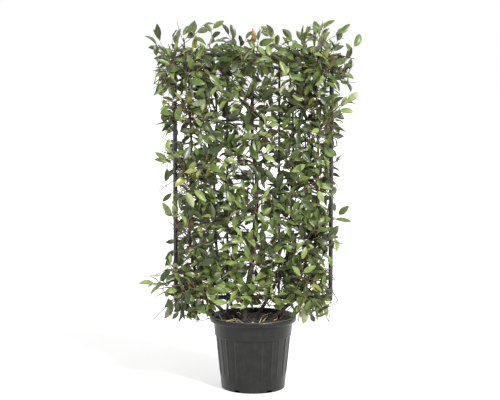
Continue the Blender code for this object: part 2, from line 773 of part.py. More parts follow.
def mass_space(layer, row, column):
    """Lowest and highest corner of the space that a mass keeps to."""
    foot, head = ROW_EDGES[layer, column][row:row + 2]
    if layer == "back":
        near, far = BACK_LAYER_INNER, CROWN_BACK
        left, right = (-BACK_REACH, 0.0) if column == "left" else (0.0, BACK_REACH)
    else:
        near, far = CROWN_FRONT, FRONT_LAYER_INNER
        if column == "left":
            left, right = -LEFT_REACH[row], -FRONT_COLUMN_EDGE
        elif column == "right":
            left, right = FRONT_COLUMN_EDGE, RIGHT_REACH[row]
        else:
            left, right = -FRONT_COLUMN_EDGE, FRONT_COLUMN_EDGE
    return Vector((left, near, foot)), Vector((right, far, head))


def build_foliage(material):
    """Every mass of the crown, row by row, in both layers."""
    obstacles = obstacle_tree()
    for number, ((layer, column), stem) in enumerate(CARRIERS.items()):
        facing = -1 if layer == "front" else 1
        rows = len(ROW_EDGES[layer, column]) - 1
        for row in range(rows):
            low, high = mass_space(layer, row, column)
            dice = random.Random(SEED + 100 * number + row)
            mass = Mass(f"foliage_{layer}_{column}_{row + 1}", low, high, facing, obstacles, dice)
            drop = TOP_LEAD_TIP_DROP if row == rows - 1 else LEAD_TIP_DROP
            mass.grow_lead(*lead_start(stem, row, rows, low.z, facing), drop)
            for shoot in LONG_SHOOTS.get((layer, row, column), ()):
                mass.grow_shoot(*shoot)
            leaves = round(LEAVES_PER_SQUARE_METRE[layer] * (high.x - low.x) * (high.z - low.z))
            mass.grow_side_twigs(round(leaves / LEAVES_PER_TWIG))
            mass.grow_leaves(leaves - len(mass.leaf_centres))
            mass.fuse(material)


def main():
    """Build the whole plant in its pot."""
    clear_scene()
    build_pot(finish("moulded_polypropylene", (0.045, 0.047, 0.042), 0.48))
    build_soil(finish("potting_compost", (0.018, 0.014, 0.011), 0.95))
    build_trellis(finish("powder_coated_steel", (0.018, 0.019, 0.021), 0.42))
    build_stems(finish("photinia_bark", (0.075, 0.055, 0.040), 0.85))
    build_foliage(finish("photinia_foliage", (0.135, 0.190, 0.060), 0.45))


main()
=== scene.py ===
"""Potted red robin photinia, trained flat on a steel trellis: the dressed plant.

Metres, +Z up. The origin is the centre of the pot's flat underside, the plant's front
faces -Y and +X is its right-hand side as seen from the front. Each sub-assembly is a
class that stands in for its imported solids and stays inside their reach.
"""
from __future__ import annotations

import logging
import math
import random
from dataclasses import dataclass, field
from enum import Enum

import bmesh
import bpy
import numpy as np
from mathutils import Matrix, Vector, noise
from mathutils.bvhtree import BVHTree


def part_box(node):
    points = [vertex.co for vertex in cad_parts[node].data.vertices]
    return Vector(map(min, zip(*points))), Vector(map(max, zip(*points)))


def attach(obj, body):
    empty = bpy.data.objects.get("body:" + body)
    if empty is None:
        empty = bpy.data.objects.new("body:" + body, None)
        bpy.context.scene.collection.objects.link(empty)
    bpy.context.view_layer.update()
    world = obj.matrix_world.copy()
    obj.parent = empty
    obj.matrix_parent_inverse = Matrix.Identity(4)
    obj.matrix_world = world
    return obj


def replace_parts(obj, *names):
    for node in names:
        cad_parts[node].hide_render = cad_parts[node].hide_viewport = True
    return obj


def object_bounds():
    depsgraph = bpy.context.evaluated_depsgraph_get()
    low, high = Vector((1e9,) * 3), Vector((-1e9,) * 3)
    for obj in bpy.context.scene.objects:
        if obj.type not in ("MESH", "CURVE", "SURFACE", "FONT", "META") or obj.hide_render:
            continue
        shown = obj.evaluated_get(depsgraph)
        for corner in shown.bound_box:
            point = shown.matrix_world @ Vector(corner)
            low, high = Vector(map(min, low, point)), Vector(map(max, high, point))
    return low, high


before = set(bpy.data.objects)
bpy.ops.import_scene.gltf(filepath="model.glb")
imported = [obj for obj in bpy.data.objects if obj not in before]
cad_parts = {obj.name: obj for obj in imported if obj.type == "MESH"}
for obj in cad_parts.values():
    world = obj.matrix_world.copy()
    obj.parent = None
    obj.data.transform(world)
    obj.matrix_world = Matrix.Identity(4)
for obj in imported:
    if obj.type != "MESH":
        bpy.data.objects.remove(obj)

CAD_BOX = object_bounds()
LOG = logging.getLogger("photinia")
BODY = "root"
MM = 0.001
GOLDEN_ANGLE = math.radians(137.5)
UP = Vector((0.0, 0.0, 1.0))

# Nearly all of a noise's output lies between these two values
NOISE_LOW = 0.3
NOISE_HIGH = 0.7
# Bark relief: furrows in a metre across and along a stem, and the finer knots with their share
FURROWS_ACROSS = 160.0
FURROWS_ALONG = 28.0
KNOTS = 420.0
KNOT_SHARE = 0.6
# How far a lump's corners are pulled in and pushed out
LUMP_REACH = (0.72, 1.22)


def linear(hex_colour: str) -> tuple[float, float, float, float]:
    """Turn an sRGB hex colour into a linear one.

    Args:
        hex_colour: The colour as "#rrggbb".

    Returns:
        Linear red, green and blue, with an alpha of 1.
    """
    channels = [int(hex_colour[place:place + 2], 16) / 255 for place in (1, 3, 5)]
    return (*[value / 12.92 if value <= 0.04045 else ((value + 0.055) / 1.055) ** 2.4
              for value in channels], 1.0)


def add_node(tree: bpy.types.NodeTree, kind: str, settings: dict | None = None,
             links: dict | None = None) -> bpy.types.Node:
    """Add a node with its settings and links.

    Args:
        tree: The node tree that takes the node.
        kind: The node's type name.
        settings: Values by attribute or input name; "stops" holds a ramp's places and hex colours.
        links: Output sockets by input name.

    Returns:
        The new node.
    """
    node = tree.nodes.new(kind)
    for name, value in (settings or {}).items():
        if name == "stops":
            stops = node.color_ramp.elements
            for index, (place, colour) in enumerate(value):
                stop = stops[index] if index < 2 else stops.new(place)
                stop.position = place
                stop.color = linear(colour)
        elif hasattr(node, name):
            setattr(node, name, value)
        else:
            node.inputs[name].default_value = value
    for name, socket in (links or {}).items():
        tree.links.new(socket, node.inputs[name])
    return node


def per_metre(millimetres: float) -> float:
    """The noise scale whose features are about that many millimetres across."""
    return 1.0 / (millimetres * MM)


@dataclass(frozen=True)
class Finish:
    """A Principled surface whose colour and relief vary with two noises at real scales.

    The coarse noise shifts the colour between the stops of a ramp, and the fine one gives relief.
    """

    name: str
    stops: tuple[tuple[float, str], ...]
    roughness: float
    colour_grain_mm: float
    relief_grain_mm: float
    relief_mm: float
    relief_strength: float = 0.5
    roughness_spread: float = 0.0
    metallic: float = 0.0
    ior: float = 1.5
    coat: float = 0.0
    coat_roughness: float = 0.2
    specular: float = 0.5
    stretch: tuple[float, float, float] = (1.0, 1.0, 1.0)

    def build(self) -> bpy.types.Material:
        """Make the material.

        Returns:
            The material, ready to put on a piece.
        """
        material = bpy.data.materials.new(self.name)
        material.use_nodes = True
        tree = material.node_tree
        shader = tree.nodes["Principled BSDF"]
        shader.inputs["Metallic"].default_value = self.metallic
        shader.inputs["IOR"].default_value = self.ior
        shader.inputs["Specular IOR Level"].default_value = self.specular
        shader.inputs["Coat Weight"].default_value = self.coat
        shader.inputs["Coat Roughness"].default_value = self.coat_roughness
        place = add_node(tree, "ShaderNodeTexCoord").outputs["Object"]
        place = add_node(tree, "ShaderNodeMapping", {"Scale": self.stretch},
                         {"Vector": place}).outputs["Vector"]
        grain = add_node(tree, "ShaderNodeTexNoise",
                         {"Scale": per_metre(self.colour_grain_mm), "Detail": 4.0, "Roughness": 0.6},
                         {"Vector": place}).outputs["Fac"]
        ramp = add_node(tree, "ShaderNodeValToRGB", {"stops": self.stops}, {"Fac": grain})
        tree.links.new(ramp.outputs["Color"], shader.inputs["Base Color"])
        if self.roughness_spread:
            varied = add_node(tree, "ShaderNodeMapRange",
                              {"From Min": NOISE_LOW, "From Max": NOISE_HIGH,
                               "To Min": self.roughness - self.roughness_spread,
                               "To Max": self.roughness + self.roughness_spread}, {"Value": grain})
            tree.links.new(varied.outputs["Result"], shader.inputs["Roughness"])
        else:
            shader.inputs["Roughness"].default_value = self.roughness
        relief = add_node(tree, "ShaderNodeTexNoise",
                          {"Scale": per_metre(self.relief_grain_mm), "Detail": 3.0},
                          {"Vector": place}).outputs["Fac"]
        bump = add_node(tree, "ShaderNodeBump",
                        {"Strength": self.relief_strength, "Distance": self.relief_mm * MM},
                        {"Height": relief})
        tree.links.new(bump.outputs["Normal"], shader.inputs["Normal"])
        return material


# Injection-moulded polypropylene: charcoal grey with a satin skin, scuffed a little lighter in places
MOULDED_POLYPROPYLENE = Finish(
    "moulded_polypropylene", ((0.30, "#131412"), (0.55, "#1a1b19"), (0.80, "#242522")),
    roughness=0.32, colour_grain_mm=38.0, relief_grain_mm=1.6, relief_mm=0.25, relief_strength=0.35,
    roughness_spread=0.08, ior=1.49, specular=0.31)
# The same plastic, painted lighter and duller on the rim's top edge: a painted highlight of the light that
# the rim catches
RIM_HIGHLIGHT_POLYPROPYLENE = Finish(
    "polypropylene_painted_rim_highlight", ((0.30, "#3c3d3b"), (0.55, "#4b4c49"), (0.80, "#5c5d5a")),
    roughness=0.5, colour_grain_mm=12.0, relief_grain_mm=1.4, relief_mm=0.3, relief_strength=0.4,
    ior=1.49)
# Powder-coated steel: near-black, with the slight orange peel that blurs its highlight
POWDER_COATED_STEEL = Finish(
    "powder_coated_steel", ((0.35, "#17191b"), (0.60, "#202325"), (0.85, "#2b2e30")),
    roughness=0.36, colour_grain_mm=60.0, relief_grain_mm=2.2, relief_mm=0.2, relief_strength=0.4,
    roughness_spread=0.05, ior=1.5, coat=0.25, coat_roughness=0.25)
# Moist potting compost: almost black peat with brown fibres, quite matt
POTTING_COMPOST = Finish(
    "potting_compost", ((0.30, "#120e0b"), (0.50, "#1f1812"), (0.72, "#33271c")),
    roughness=0.92, colour_grain_mm=6.0, relief_grain_mm=2.5, relief_mm=2.5, relief_strength=0.9)
# Composted bark chips that lie on the peat: redder and lighter than the peat
BARK_CHIP = Finish(
    "composted_bark_chip", ((0.25, "#2a1d15"), (0.50, "#4a3323"), (0.75, "#6b4a33")),
    roughness=0.85, colour_grain_mm=4.0, relief_grain_mm=1.5, relief_mm=0.8, relief_strength=0.8)
# Dry fallen twigs, bleached to a pale tan
DRY_TWIG = Finish(
    "dry_fallen_twig", ((0.25, "#8a7354"), (0.50, "#b39a74"), (0.75, "#cfb992")),
    roughness=0.7, colour_grain_mm=7.0, relief_grain_mm=1.2, relief_mm=0.3, relief_strength=0.6)
# Old photinia bark: grey-brown with fine fissures along the stem
PHOTINIA_BARK = Finish(
    "photinia_bark", ((0.25, "#1e1713"), (0.50, "#352a22"), (0.75, "#54493f")),
    roughness=0.82, colour_grain_mm=3.5, relief_grain_mm=1.8, relief_mm=1.2, relief_strength=0.9,
    stretch=(1.0, 1.0, 0.25))
# Second-year twig: dark brown with a faint sheen
WOODY_TWIG = Finish(
    "photinia_woody_twig", ((0.25, "#211915"), (0.50, "#332822"), (0.75, "#4a3e36")),
    roughness=0.65, colour_grain_mm=6.0, relief_grain_mm=1.5, relief_mm=0.5, relief_strength=0.6,
    stretch=(1.0, 1.0, 0.35))
# This year's shoot: smooth red-brown skin that turns green where the light reaches it
YOUNG_SHOOT = Finish(
    "photinia_young_shoot", ((0.25, "#4a2a20"), (0.50, "#553629"), (0.75, "#545030")),
    roughness=0.5, colour_grain_mm=18.0, relief_grain_mm=2.0, relief_mm=0.15, relief_strength=0.4)


class Tint(Enum):
    """The colours of the leaves: a whole spray has one."""

    DEEP = "deep"
    MID = "mid"
    FRESH = "fresh"
    YELLOW = "yellow"
    BRONZE = "bronze"


# Upper side, lower side: hex colours at the two ends of each tint's slight mottling
LEAF_COLOURS: dict[Tint, tuple[tuple[str, str], tuple[str, str]]] = {
    Tint.DEEP: (("#262f15", "#35401d"), ("#4d553a", "#5c6348")),
    Tint.MID: (("#455323", "#57652f"), ("#687050", "#7a8261")),
    Tint.FRESH: (("#63703a", "#768348"), ("#7e865f", "#90976f")),
    Tint.YELLOW: (("#6f7336", "#838344"), ("#7a7c4c", "#8a8a5c")),
    Tint.BRONZE: (("#7a5530", "#8f6a40"), ("#846248", "#967658")),
}


def leaf_finishes(tint: Tint) -> tuple[Finish, Finish]:
    """The finishes of a tint's leaves.

    Args:
        tint: The tint.

    Returns:
        The waxy upper side, which mirrors the sky softly, and the matt paler lower side.
    """
    upper, lower = LEAF_COLOURS[tint]
    waxy = Finish(f"photinia_leaf_{tint.value}_upper", ((0.35, upper[0]), (0.65, upper[1])),
                  roughness=0.40, colour_grain_mm=14.0, relief_grain_mm=3.0, relief_mm=0.35,
                  relief_strength=0.5, ior=1.45, specular=0.42, coat=0.08, coat_roughness=0.2)
    matt = Finish(f"photinia_leaf_{tint.value}_lower", ((0.35, lower[0]), (0.65, lower[1])),
                  roughness=0.62, colour_grain_mm=14.0, relief_grain_mm=2.5, relief_mm=0.3,
                  relief_strength=0.5, ior=1.4, specular=0.3)
    return waxy, matt


class MeshSketch:
    """Vertices and faces gathered for one piece."""

    def __init__(self) -> None:
        """Start empty."""
        self.vertices: list[np.ndarray] = []
        self.faces: list[tuple[int, ...]] = []
        self.finishes: list[int] = []
        self.count = 0

    def add(self, vertices: np.ndarray, faces: list[tuple[int, ...]], finish: int = 0) -> None:
        """Add a shape.

        Args:
            vertices: Its points, one row each.
            faces: Its faces, by the points' places.
            finish: Which of the piece's materials it takes.
        """
        self.vertices.append(np.asarray(vertices, float))
        self.faces += [tuple(self.count + corner for corner in face) for face in faces]
        self.finishes += [finish] * len(faces)
        self.count += len(vertices)

    def build(self, name: str, materials: list[bpy.types.Material], slot: str,
              smooth_angle: float | None = None) -> bpy.types.Object:
        """Make the piece and let it ride on the plant's body.

        Args:
            name: The piece's name.
            materials: Its materials, in the order of the finishes' numbers.
            slot: The record's material slot; not used.
            smooth_angle: The steepest edge, in degrees, that is still shaded smooth.

        Returns:
            The new object.
        """
        mesh = bpy.data.meshes.new(name)
        points = np.concatenate(self.vertices)
        mesh.from_pydata(points.tolist(), [], self.faces)
        for material in materials:
            mesh.materials.append(material)
        mesh.polygons.foreach_set("material_index", self.finishes)
        mesh.update()
        if smooth_angle is not None:
            mesh.shade_smooth()
            mesh.set_sharp_from_angle(angle=math.radians(smooth_angle))
        piece = bpy.data.objects.new(name, mesh)
        bpy.context.scene.collection.objects.link(piece)
        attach(piece, BODY)
        LOG.info("%s: %d faces", name, len(mesh.polygons))
        return piece


def spline(points: list[Vector], count: int) -> list[Vector]:
    """Even samples of a smooth curve that passes through the points.

    Args:
        points: The points that the curve passes through.
        count: How many samples to take.

    Returns:
        The samples, from the first point to the last.
    """
    ends = [points[0] * 2 - points[1], *points, points[-1] * 2 - points[-2]]
    spans = len(points) - 1
    samples = []
    for index in range(count):
        place = spans * index / (count - 1)
        span = min(int(place), spans - 1)
        t = place - span
        a, b, c, d = ends[span:span + 4]
        samples.append(0.5 * (2 * b + (c - a) * t + (2 * a - 5 * b + 4 * c - d) * t ** 2
                              + (3 * b - a - 3 * c + d) * t ** 3))
    return samples


def taper(start: float, end: float, count: int) -> list[float]:
    """Radii that change evenly along a limb.

    Args:
        start: The first radius.
        end: The last radius.
        count: How many radii to give.

    Returns:
        The radii, from the first to the last.
    """
    return [start + (end - start) * index / (count - 1) for index in range(count)]


def skin(first: int, rings: int, sides: int) -> list[tuple[int, ...]]:
    """The quads between rings of points, each ring following the last one in the list of points.

    Args:
        first: The place of the first ring's first point.
        rings: How many rings there are.
        sides: How many points each ring has.

    Returns:
        The faces, which point outward where the rings rise and run anticlockwise.
    """
    faces = []
    for low in range(first, first + (rings - 1) * sides, sides):
        for side in range(sides):
            following = (side + 1) % sides
            faces.append((low + side, low + following, low + sides + following, low + sides + side))
    return faces


def tube(path: list[Vector], radii: list[float], sides: int,
         relief: float = 0.0, first_tangent: Vector | None = None) -> tuple[np.ndarray, list]:
    """A closed tube along a path, with flat ends, and an uneven skin where relief is given.

    Args:
        path: The centre line.
        radii: One radius for each point of the path.
        sides: How many sides the tube has.
        relief: The share of the radius by which the skin is raised and sunk.
        first_tangent: The direction that the first end is square to.

    Returns:
        Vertices and faces.
    """
    rings = []
    across = None
    for index, (point, radius) in enumerate(zip(path, radii)):
        before = path[max(index - 1, 0)]
        after = path[min(index + 1, len(path) - 1)]
        tangent = (after - before).normalized()
        if index == 0 and first_tangent is not None:
            tangent = first_tangent
        if across is None:
            across = tangent.orthogonal().normalized()
        across = (across - tangent * across.dot(tangent)).normalized()
        other = tangent.cross(across)
        for side in range(sides):
            angle = 2 * math.pi * side / sides
            out = across * math.cos(angle) + other * math.sin(angle)
            reach = radius
            if relief:
                spot = point + out * radius
                furrow = noise.noise(Vector((spot.x * FURROWS_ACROSS, spot.y * FURROWS_ACROSS,
                                             spot.z * FURROWS_ALONG)))
                reach *= 1 + relief * (furrow + KNOT_SHARE * noise.noise(spot * KNOTS))
            rings.append(point + out * reach)
    faces = skin(0, len(path), sides)
    last = (len(path) - 1) * sides
    faces.append(tuple(reversed(range(sides))))
    faces.append(tuple(last + side for side in range(sides)))
    return np.array([tuple(point) for point in rings]), faces


def lump(centre: Vector, size: tuple[float, float, float], dice: random.Random,
         turn: float) -> tuple[np.ndarray, list]:
    """An irregular lump: an icosphere whose corners are pulled in and pushed out.

    Args:
        centre: Its centre.
        size: Its half length, half width and half height.
        dice: The source of its irregularity.
        turn: Its turn about the upright axis.

    Returns:
        Vertices and faces.
    """
    shape = bmesh.new()
    bmesh.ops.create_icosphere(shape, subdivisions=1, radius=1.0)
    spin = Matrix.Rotation(turn, 3, "Z")
    points = []
    for vertex in shape.verts:
        jitter = dice.uniform(*LUMP_REACH)
        local = Vector((vertex.co.x * size[0], vertex.co.y * size[1], vertex.co.z * size[2])) * jitter
        points.append(tuple(centre + spin @ local))
    faces = [tuple(vertex.index for vertex in face.verts) for face in shape.faces]
    shape.free()
    return np.array(points), faces


@dataclass
class Pot:
    """The nursery pot: a moulded shell with a rolled rim, a collar, shallow flutes and drain notches."""

    height: float = 0.303
    rim_radius: float = 0.180
    rim_inner_radius: float = 0.168
    rim_band: float = 0.022
    collar_top_height: float = 0.263
    collar_top_radius: float = 0.163
    collar_inner_radius: float = 0.159
    collar_foot_height: float = 0.225
    collar_foot_radius: float = 0.159
    body_top_height: float = 0.221
    body_top_radius: float = 0.1545
    base_radius: float = 0.132
    wall: float = 0.003
    floor: float = 0.012
    floor_shares: tuple[float, ...] = (0.4, 0.8)
    flute_count: int = 12
    flute_depth: float = 0.0024
    flute_step: float = math.radians(2.0)
    flute_foot: float = 0.050
    flute_run_out: float = 0.020
    run_out_steps: int = 4
    flute_top_gap: float = 0.002
    # Columns across a panel, as shares of its width; the first and last carry its raised bead
    panel_shares: tuple[float, ...] = (0.0, 0.07, 0.35, 0.65, 0.93, 1.0)
    bead: float = 0.0011
    # Heights of the plain rings in the foot, of the fluted rings, and up the collar as shares
    foot_heights: tuple[float, ...] = (0.010, 0.025, 0.040)
    flute_heights: tuple[float, ...] = (0.090, 0.120, 0.150, 0.180, 0.205)
    collar_shares: tuple[float, ...] = (0.3, 0.6, 0.9, 1.0)
    rim_inside_height: float = 0.290
    collar_inside_height: float = 0.240
    # Rounded corners of the section: steps outward and upward from the corner, in turn up the
    # outside and down inside; the foot's are shares of the edge
    foot_round: tuple[tuple[float, float], ...] = ((-1.0, 0.0), (-0.3, 0.3), (0.1, 1.0))
    ledge_round: tuple[tuple[float, float], ...] = (
        (-0.0012, -0.004), (0.0004, -0.0015), (0.0007, 0.0), (0.0002, 0.003))
    neck_round: tuple[tuple[float, float], ...] = ((0.0, -0.005), (0.002, -0.0015))
    rim_foot_round: tuple[tuple[float, float], ...] = (
        (-0.004, -0.0005), (-0.0012, 0.002), (-0.0002, 0.006), (0.0, 0.012))
    rim_top_round: tuple[tuple[float, float], ...] = ((-0.0004, -0.004), (-0.0016, -0.0012), (-0.004, 0.0))
    rim_inner_round: tuple[tuple[float, float], ...] = ((0.003, 0.0), (0.0006, -0.0012), (-0.0002, -0.005))
    notch_count: int = 6
    notch_width: float = 0.024
    notch_sill: float = 0.0015
    notch_height: float = 0.0085
    notch_depth: float = 0.022
    notch_first: float = math.radians(-120.0)
    edge: float = 0.0025
    # Depth under the rim's top over which the lighter plastic is laid on as a painted highlight
    painted_highlight_band: float = 0.0022
    smooth_angle: float = 42.0

    def panel_angles(self) -> list[tuple[float, float]]:
        """The angles of the section's columns, each with its share of a recessed panel's depth.

        Returns:
            Pairs of an angle and a depth share; slightly below zero on a panel's raised bead.
        """
        pitch = math.pi / self.flute_count
        columns = []
        for panel in range(2 * self.flute_count):
            sunk = float(panel % 2)
            start = panel * pitch + self.flute_step / 2
            end = (panel + 1) * pitch - self.flute_step / 2
            lip = -self.bead / self.flute_depth if not sunk else 1.0
            for share in self.panel_shares:
                depth = lip if share in (0.0, 1.0) else sunk
                columns.append((start + (end - start) * share, depth))
        return columns

    def inner_radius(self, height: float) -> float:
        """Radius of the inner wall.

        Args:
            height: The height to give it for.

        Returns:
            The radius.
        """
        stations = ((self.floor, self.base_radius - self.wall),
                    (self.body_top_height, self.body_top_radius - self.wall - self.flute_depth / 2),
                    (self.collar_top_height, self.collar_inner_radius),
                    (self.height - self.rim_band, self.collar_inner_radius + self.wall / 3),
                    (self.height, self.rim_inner_radius))
        return float(np.interp(height, [spot[0] for spot in stations], [spot[1] for spot in stations]))

    def body_ring(self, height: float, flute: float) -> tuple[float, float, float]:
        """A ring of the tapering body.

        Args:
            height: Its height.
            flute: Its share of the flutes' depth.

        Returns:
            Its radius, height and flute depth share.
        """
        share = height / self.body_top_height
        return self.base_radius + (self.body_top_radius - self.base_radius) * share, height, flute

    def corner(self, radius: float, height: float,
               steps: tuple[tuple[float, float], ...]) -> list[tuple[float, float, float]]:
        """The rings of a rounded corner.

        Args:
            radius: The corner's radius.
            height: The corner's height.
            steps: Each ring's steps outward and upward from the corner.

        Returns:
            Radius, height and flute depth share of each ring.
        """
        return [(radius + outward, height + upward, 0.0) for outward, upward in steps]

    def section(self) -> list[tuple[float, float, float]]:
        """The section from the underside up the outside, over the rim and down inside.

        Returns:
            Radius, height and flute depth share of each ring.
        """
        band = self.height - self.rim_band
        rings = [(self.base_radius * share, 0.0, 0.0) for share in self.floor_shares]
        rings += [(self.base_radius + self.edge * outward, self.edge * upward, 0.0)
                  for outward, upward in self.foot_round]
        rings += [self.body_ring(height, 0.0) for height in self.foot_heights]
        for step in range(self.run_out_steps + 1):
            share = step / self.run_out_steps
            eased = share * share * (3 - 2 * share)
            rings.append(self.body_ring(self.flute_foot + self.flute_run_out * share, eased))
        rings += [self.body_ring(height, 1.0) for height in self.flute_heights]
        rings += [self.body_ring(self.body_top_height - self.flute_top_gap, 1.0)]
        ledge = self.collar_foot_height
        rings += self.corner(self.collar_foot_radius, ledge, self.ledge_round)
        rings += [(self.collar_foot_radius + (self.collar_top_radius - self.collar_foot_radius) * share,
                   ledge + (self.collar_top_height - ledge) * share, 0.0) for share in self.collar_shares]
        rings += self.corner(self.collar_top_radius, band, self.neck_round)
        rings += self.corner(self.rim_radius, band, self.rim_foot_round)
        rings += self.corner(self.rim_radius, self.height, self.rim_top_round)
        rings += self.corner(self.rim_inner_radius, self.height, self.rim_inner_round)
        inside = (self.rim_inside_height, band, self.collar_top_height, self.collar_inside_height,
                  self.body_top_height, self.floor)
        rings += [(self.inner_radius(height), height, 0.0) for height in inside]
        rings += [(self.base_radius * share, self.floor, 0.0) for share in reversed(self.floor_shares)]
        return rings

    def build(self) -> bpy.types.Object:
        """Turn the section, cut the notches and dress the pot.

        Returns:
            The pot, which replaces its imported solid.
        """
        columns = self.panel_angles()
        rings = self.section()
        vertices = [(0.0, 0.0, 0.0)]
        for radius, height, flute in rings:
            for angle, depth in columns:
                reach = radius - self.flute_depth * depth * flute
                vertices.append((reach * math.cos(angle), reach * math.sin(angle), height))
        vertices.append((0.0, 0.0, self.floor))
        count = len(columns)
        last = 1 + (len(rings) - 1) * count
        faces = skin(1, len(rings), count)
        for side in range(count):
            following = (side + 1) % count
            faces.append((0, 1 + following, 1 + side))
            faces.append((last + side, last + following, len(vertices) - 1))
        sketch = MeshSketch()
        sketch.add(np.array(vertices), faces)
        plastics = [MOULDED_POLYPROPYLENE.build(), RIM_HIGHLIGHT_POLYPROPYLENE.build()]
        pot = sketch.build("fluted_pot", plastics, "pot_plastic", self.smooth_angle)
        self.cut_notches(pot)
        # The rim's top edge takes the lighter plastic: a painted highlight
        for face in pot.data.polygons:
            face.material_index = int(face.center.z > self.height - self.painted_highlight_band)
        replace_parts(pot, "pot")
        return pot

    def cut_notches(self, pot: bpy.types.Object) -> None:
        """Cut the drain notches out of the pot's foot.

        Args:
            pot: The turned pot.
        """
        shape = bmesh.new()
        for index in range(self.notch_count):
            turn = Matrix.Rotation(self.notch_first + 2 * math.pi * index / self.notch_count, 4, "Z")
            middle = self.notch_sill + self.notch_height / 2
            place = turn @ Matrix.Translation((self.base_radius, 0.0, middle))
            size = Matrix.Diagonal((2 * self.notch_depth, self.notch_width, self.notch_height, 1.0))
            bmesh.ops.create_cube(shape, size=1.0, matrix=place @ size)
        mesh = bpy.data.meshes.new("notches")
        shape.to_mesh(mesh)
        shape.free()
        cutter = bpy.data.objects.new("notches", mesh)
        bpy.context.scene.collection.objects.link(cutter)
        modifier = pot.modifiers.new("notches", "BOOLEAN")
        modifier.operation = "DIFFERENCE"
        modifier.solver = "EXACT"
        modifier.object = cutter
        bpy.context.view_layer.update()
        evaluated = pot.evaluated_get(bpy.context.evaluated_depsgraph_get())
        pot.data = bpy.data.meshes.new_from_object(evaluated)
        pot.modifiers.clear()
        pot.data.shade_smooth()
        pot.data.set_sharp_from_angle(angle=math.radians(self.smooth_angle))
        bpy.data.objects.remove(cutter, do_unlink=True)


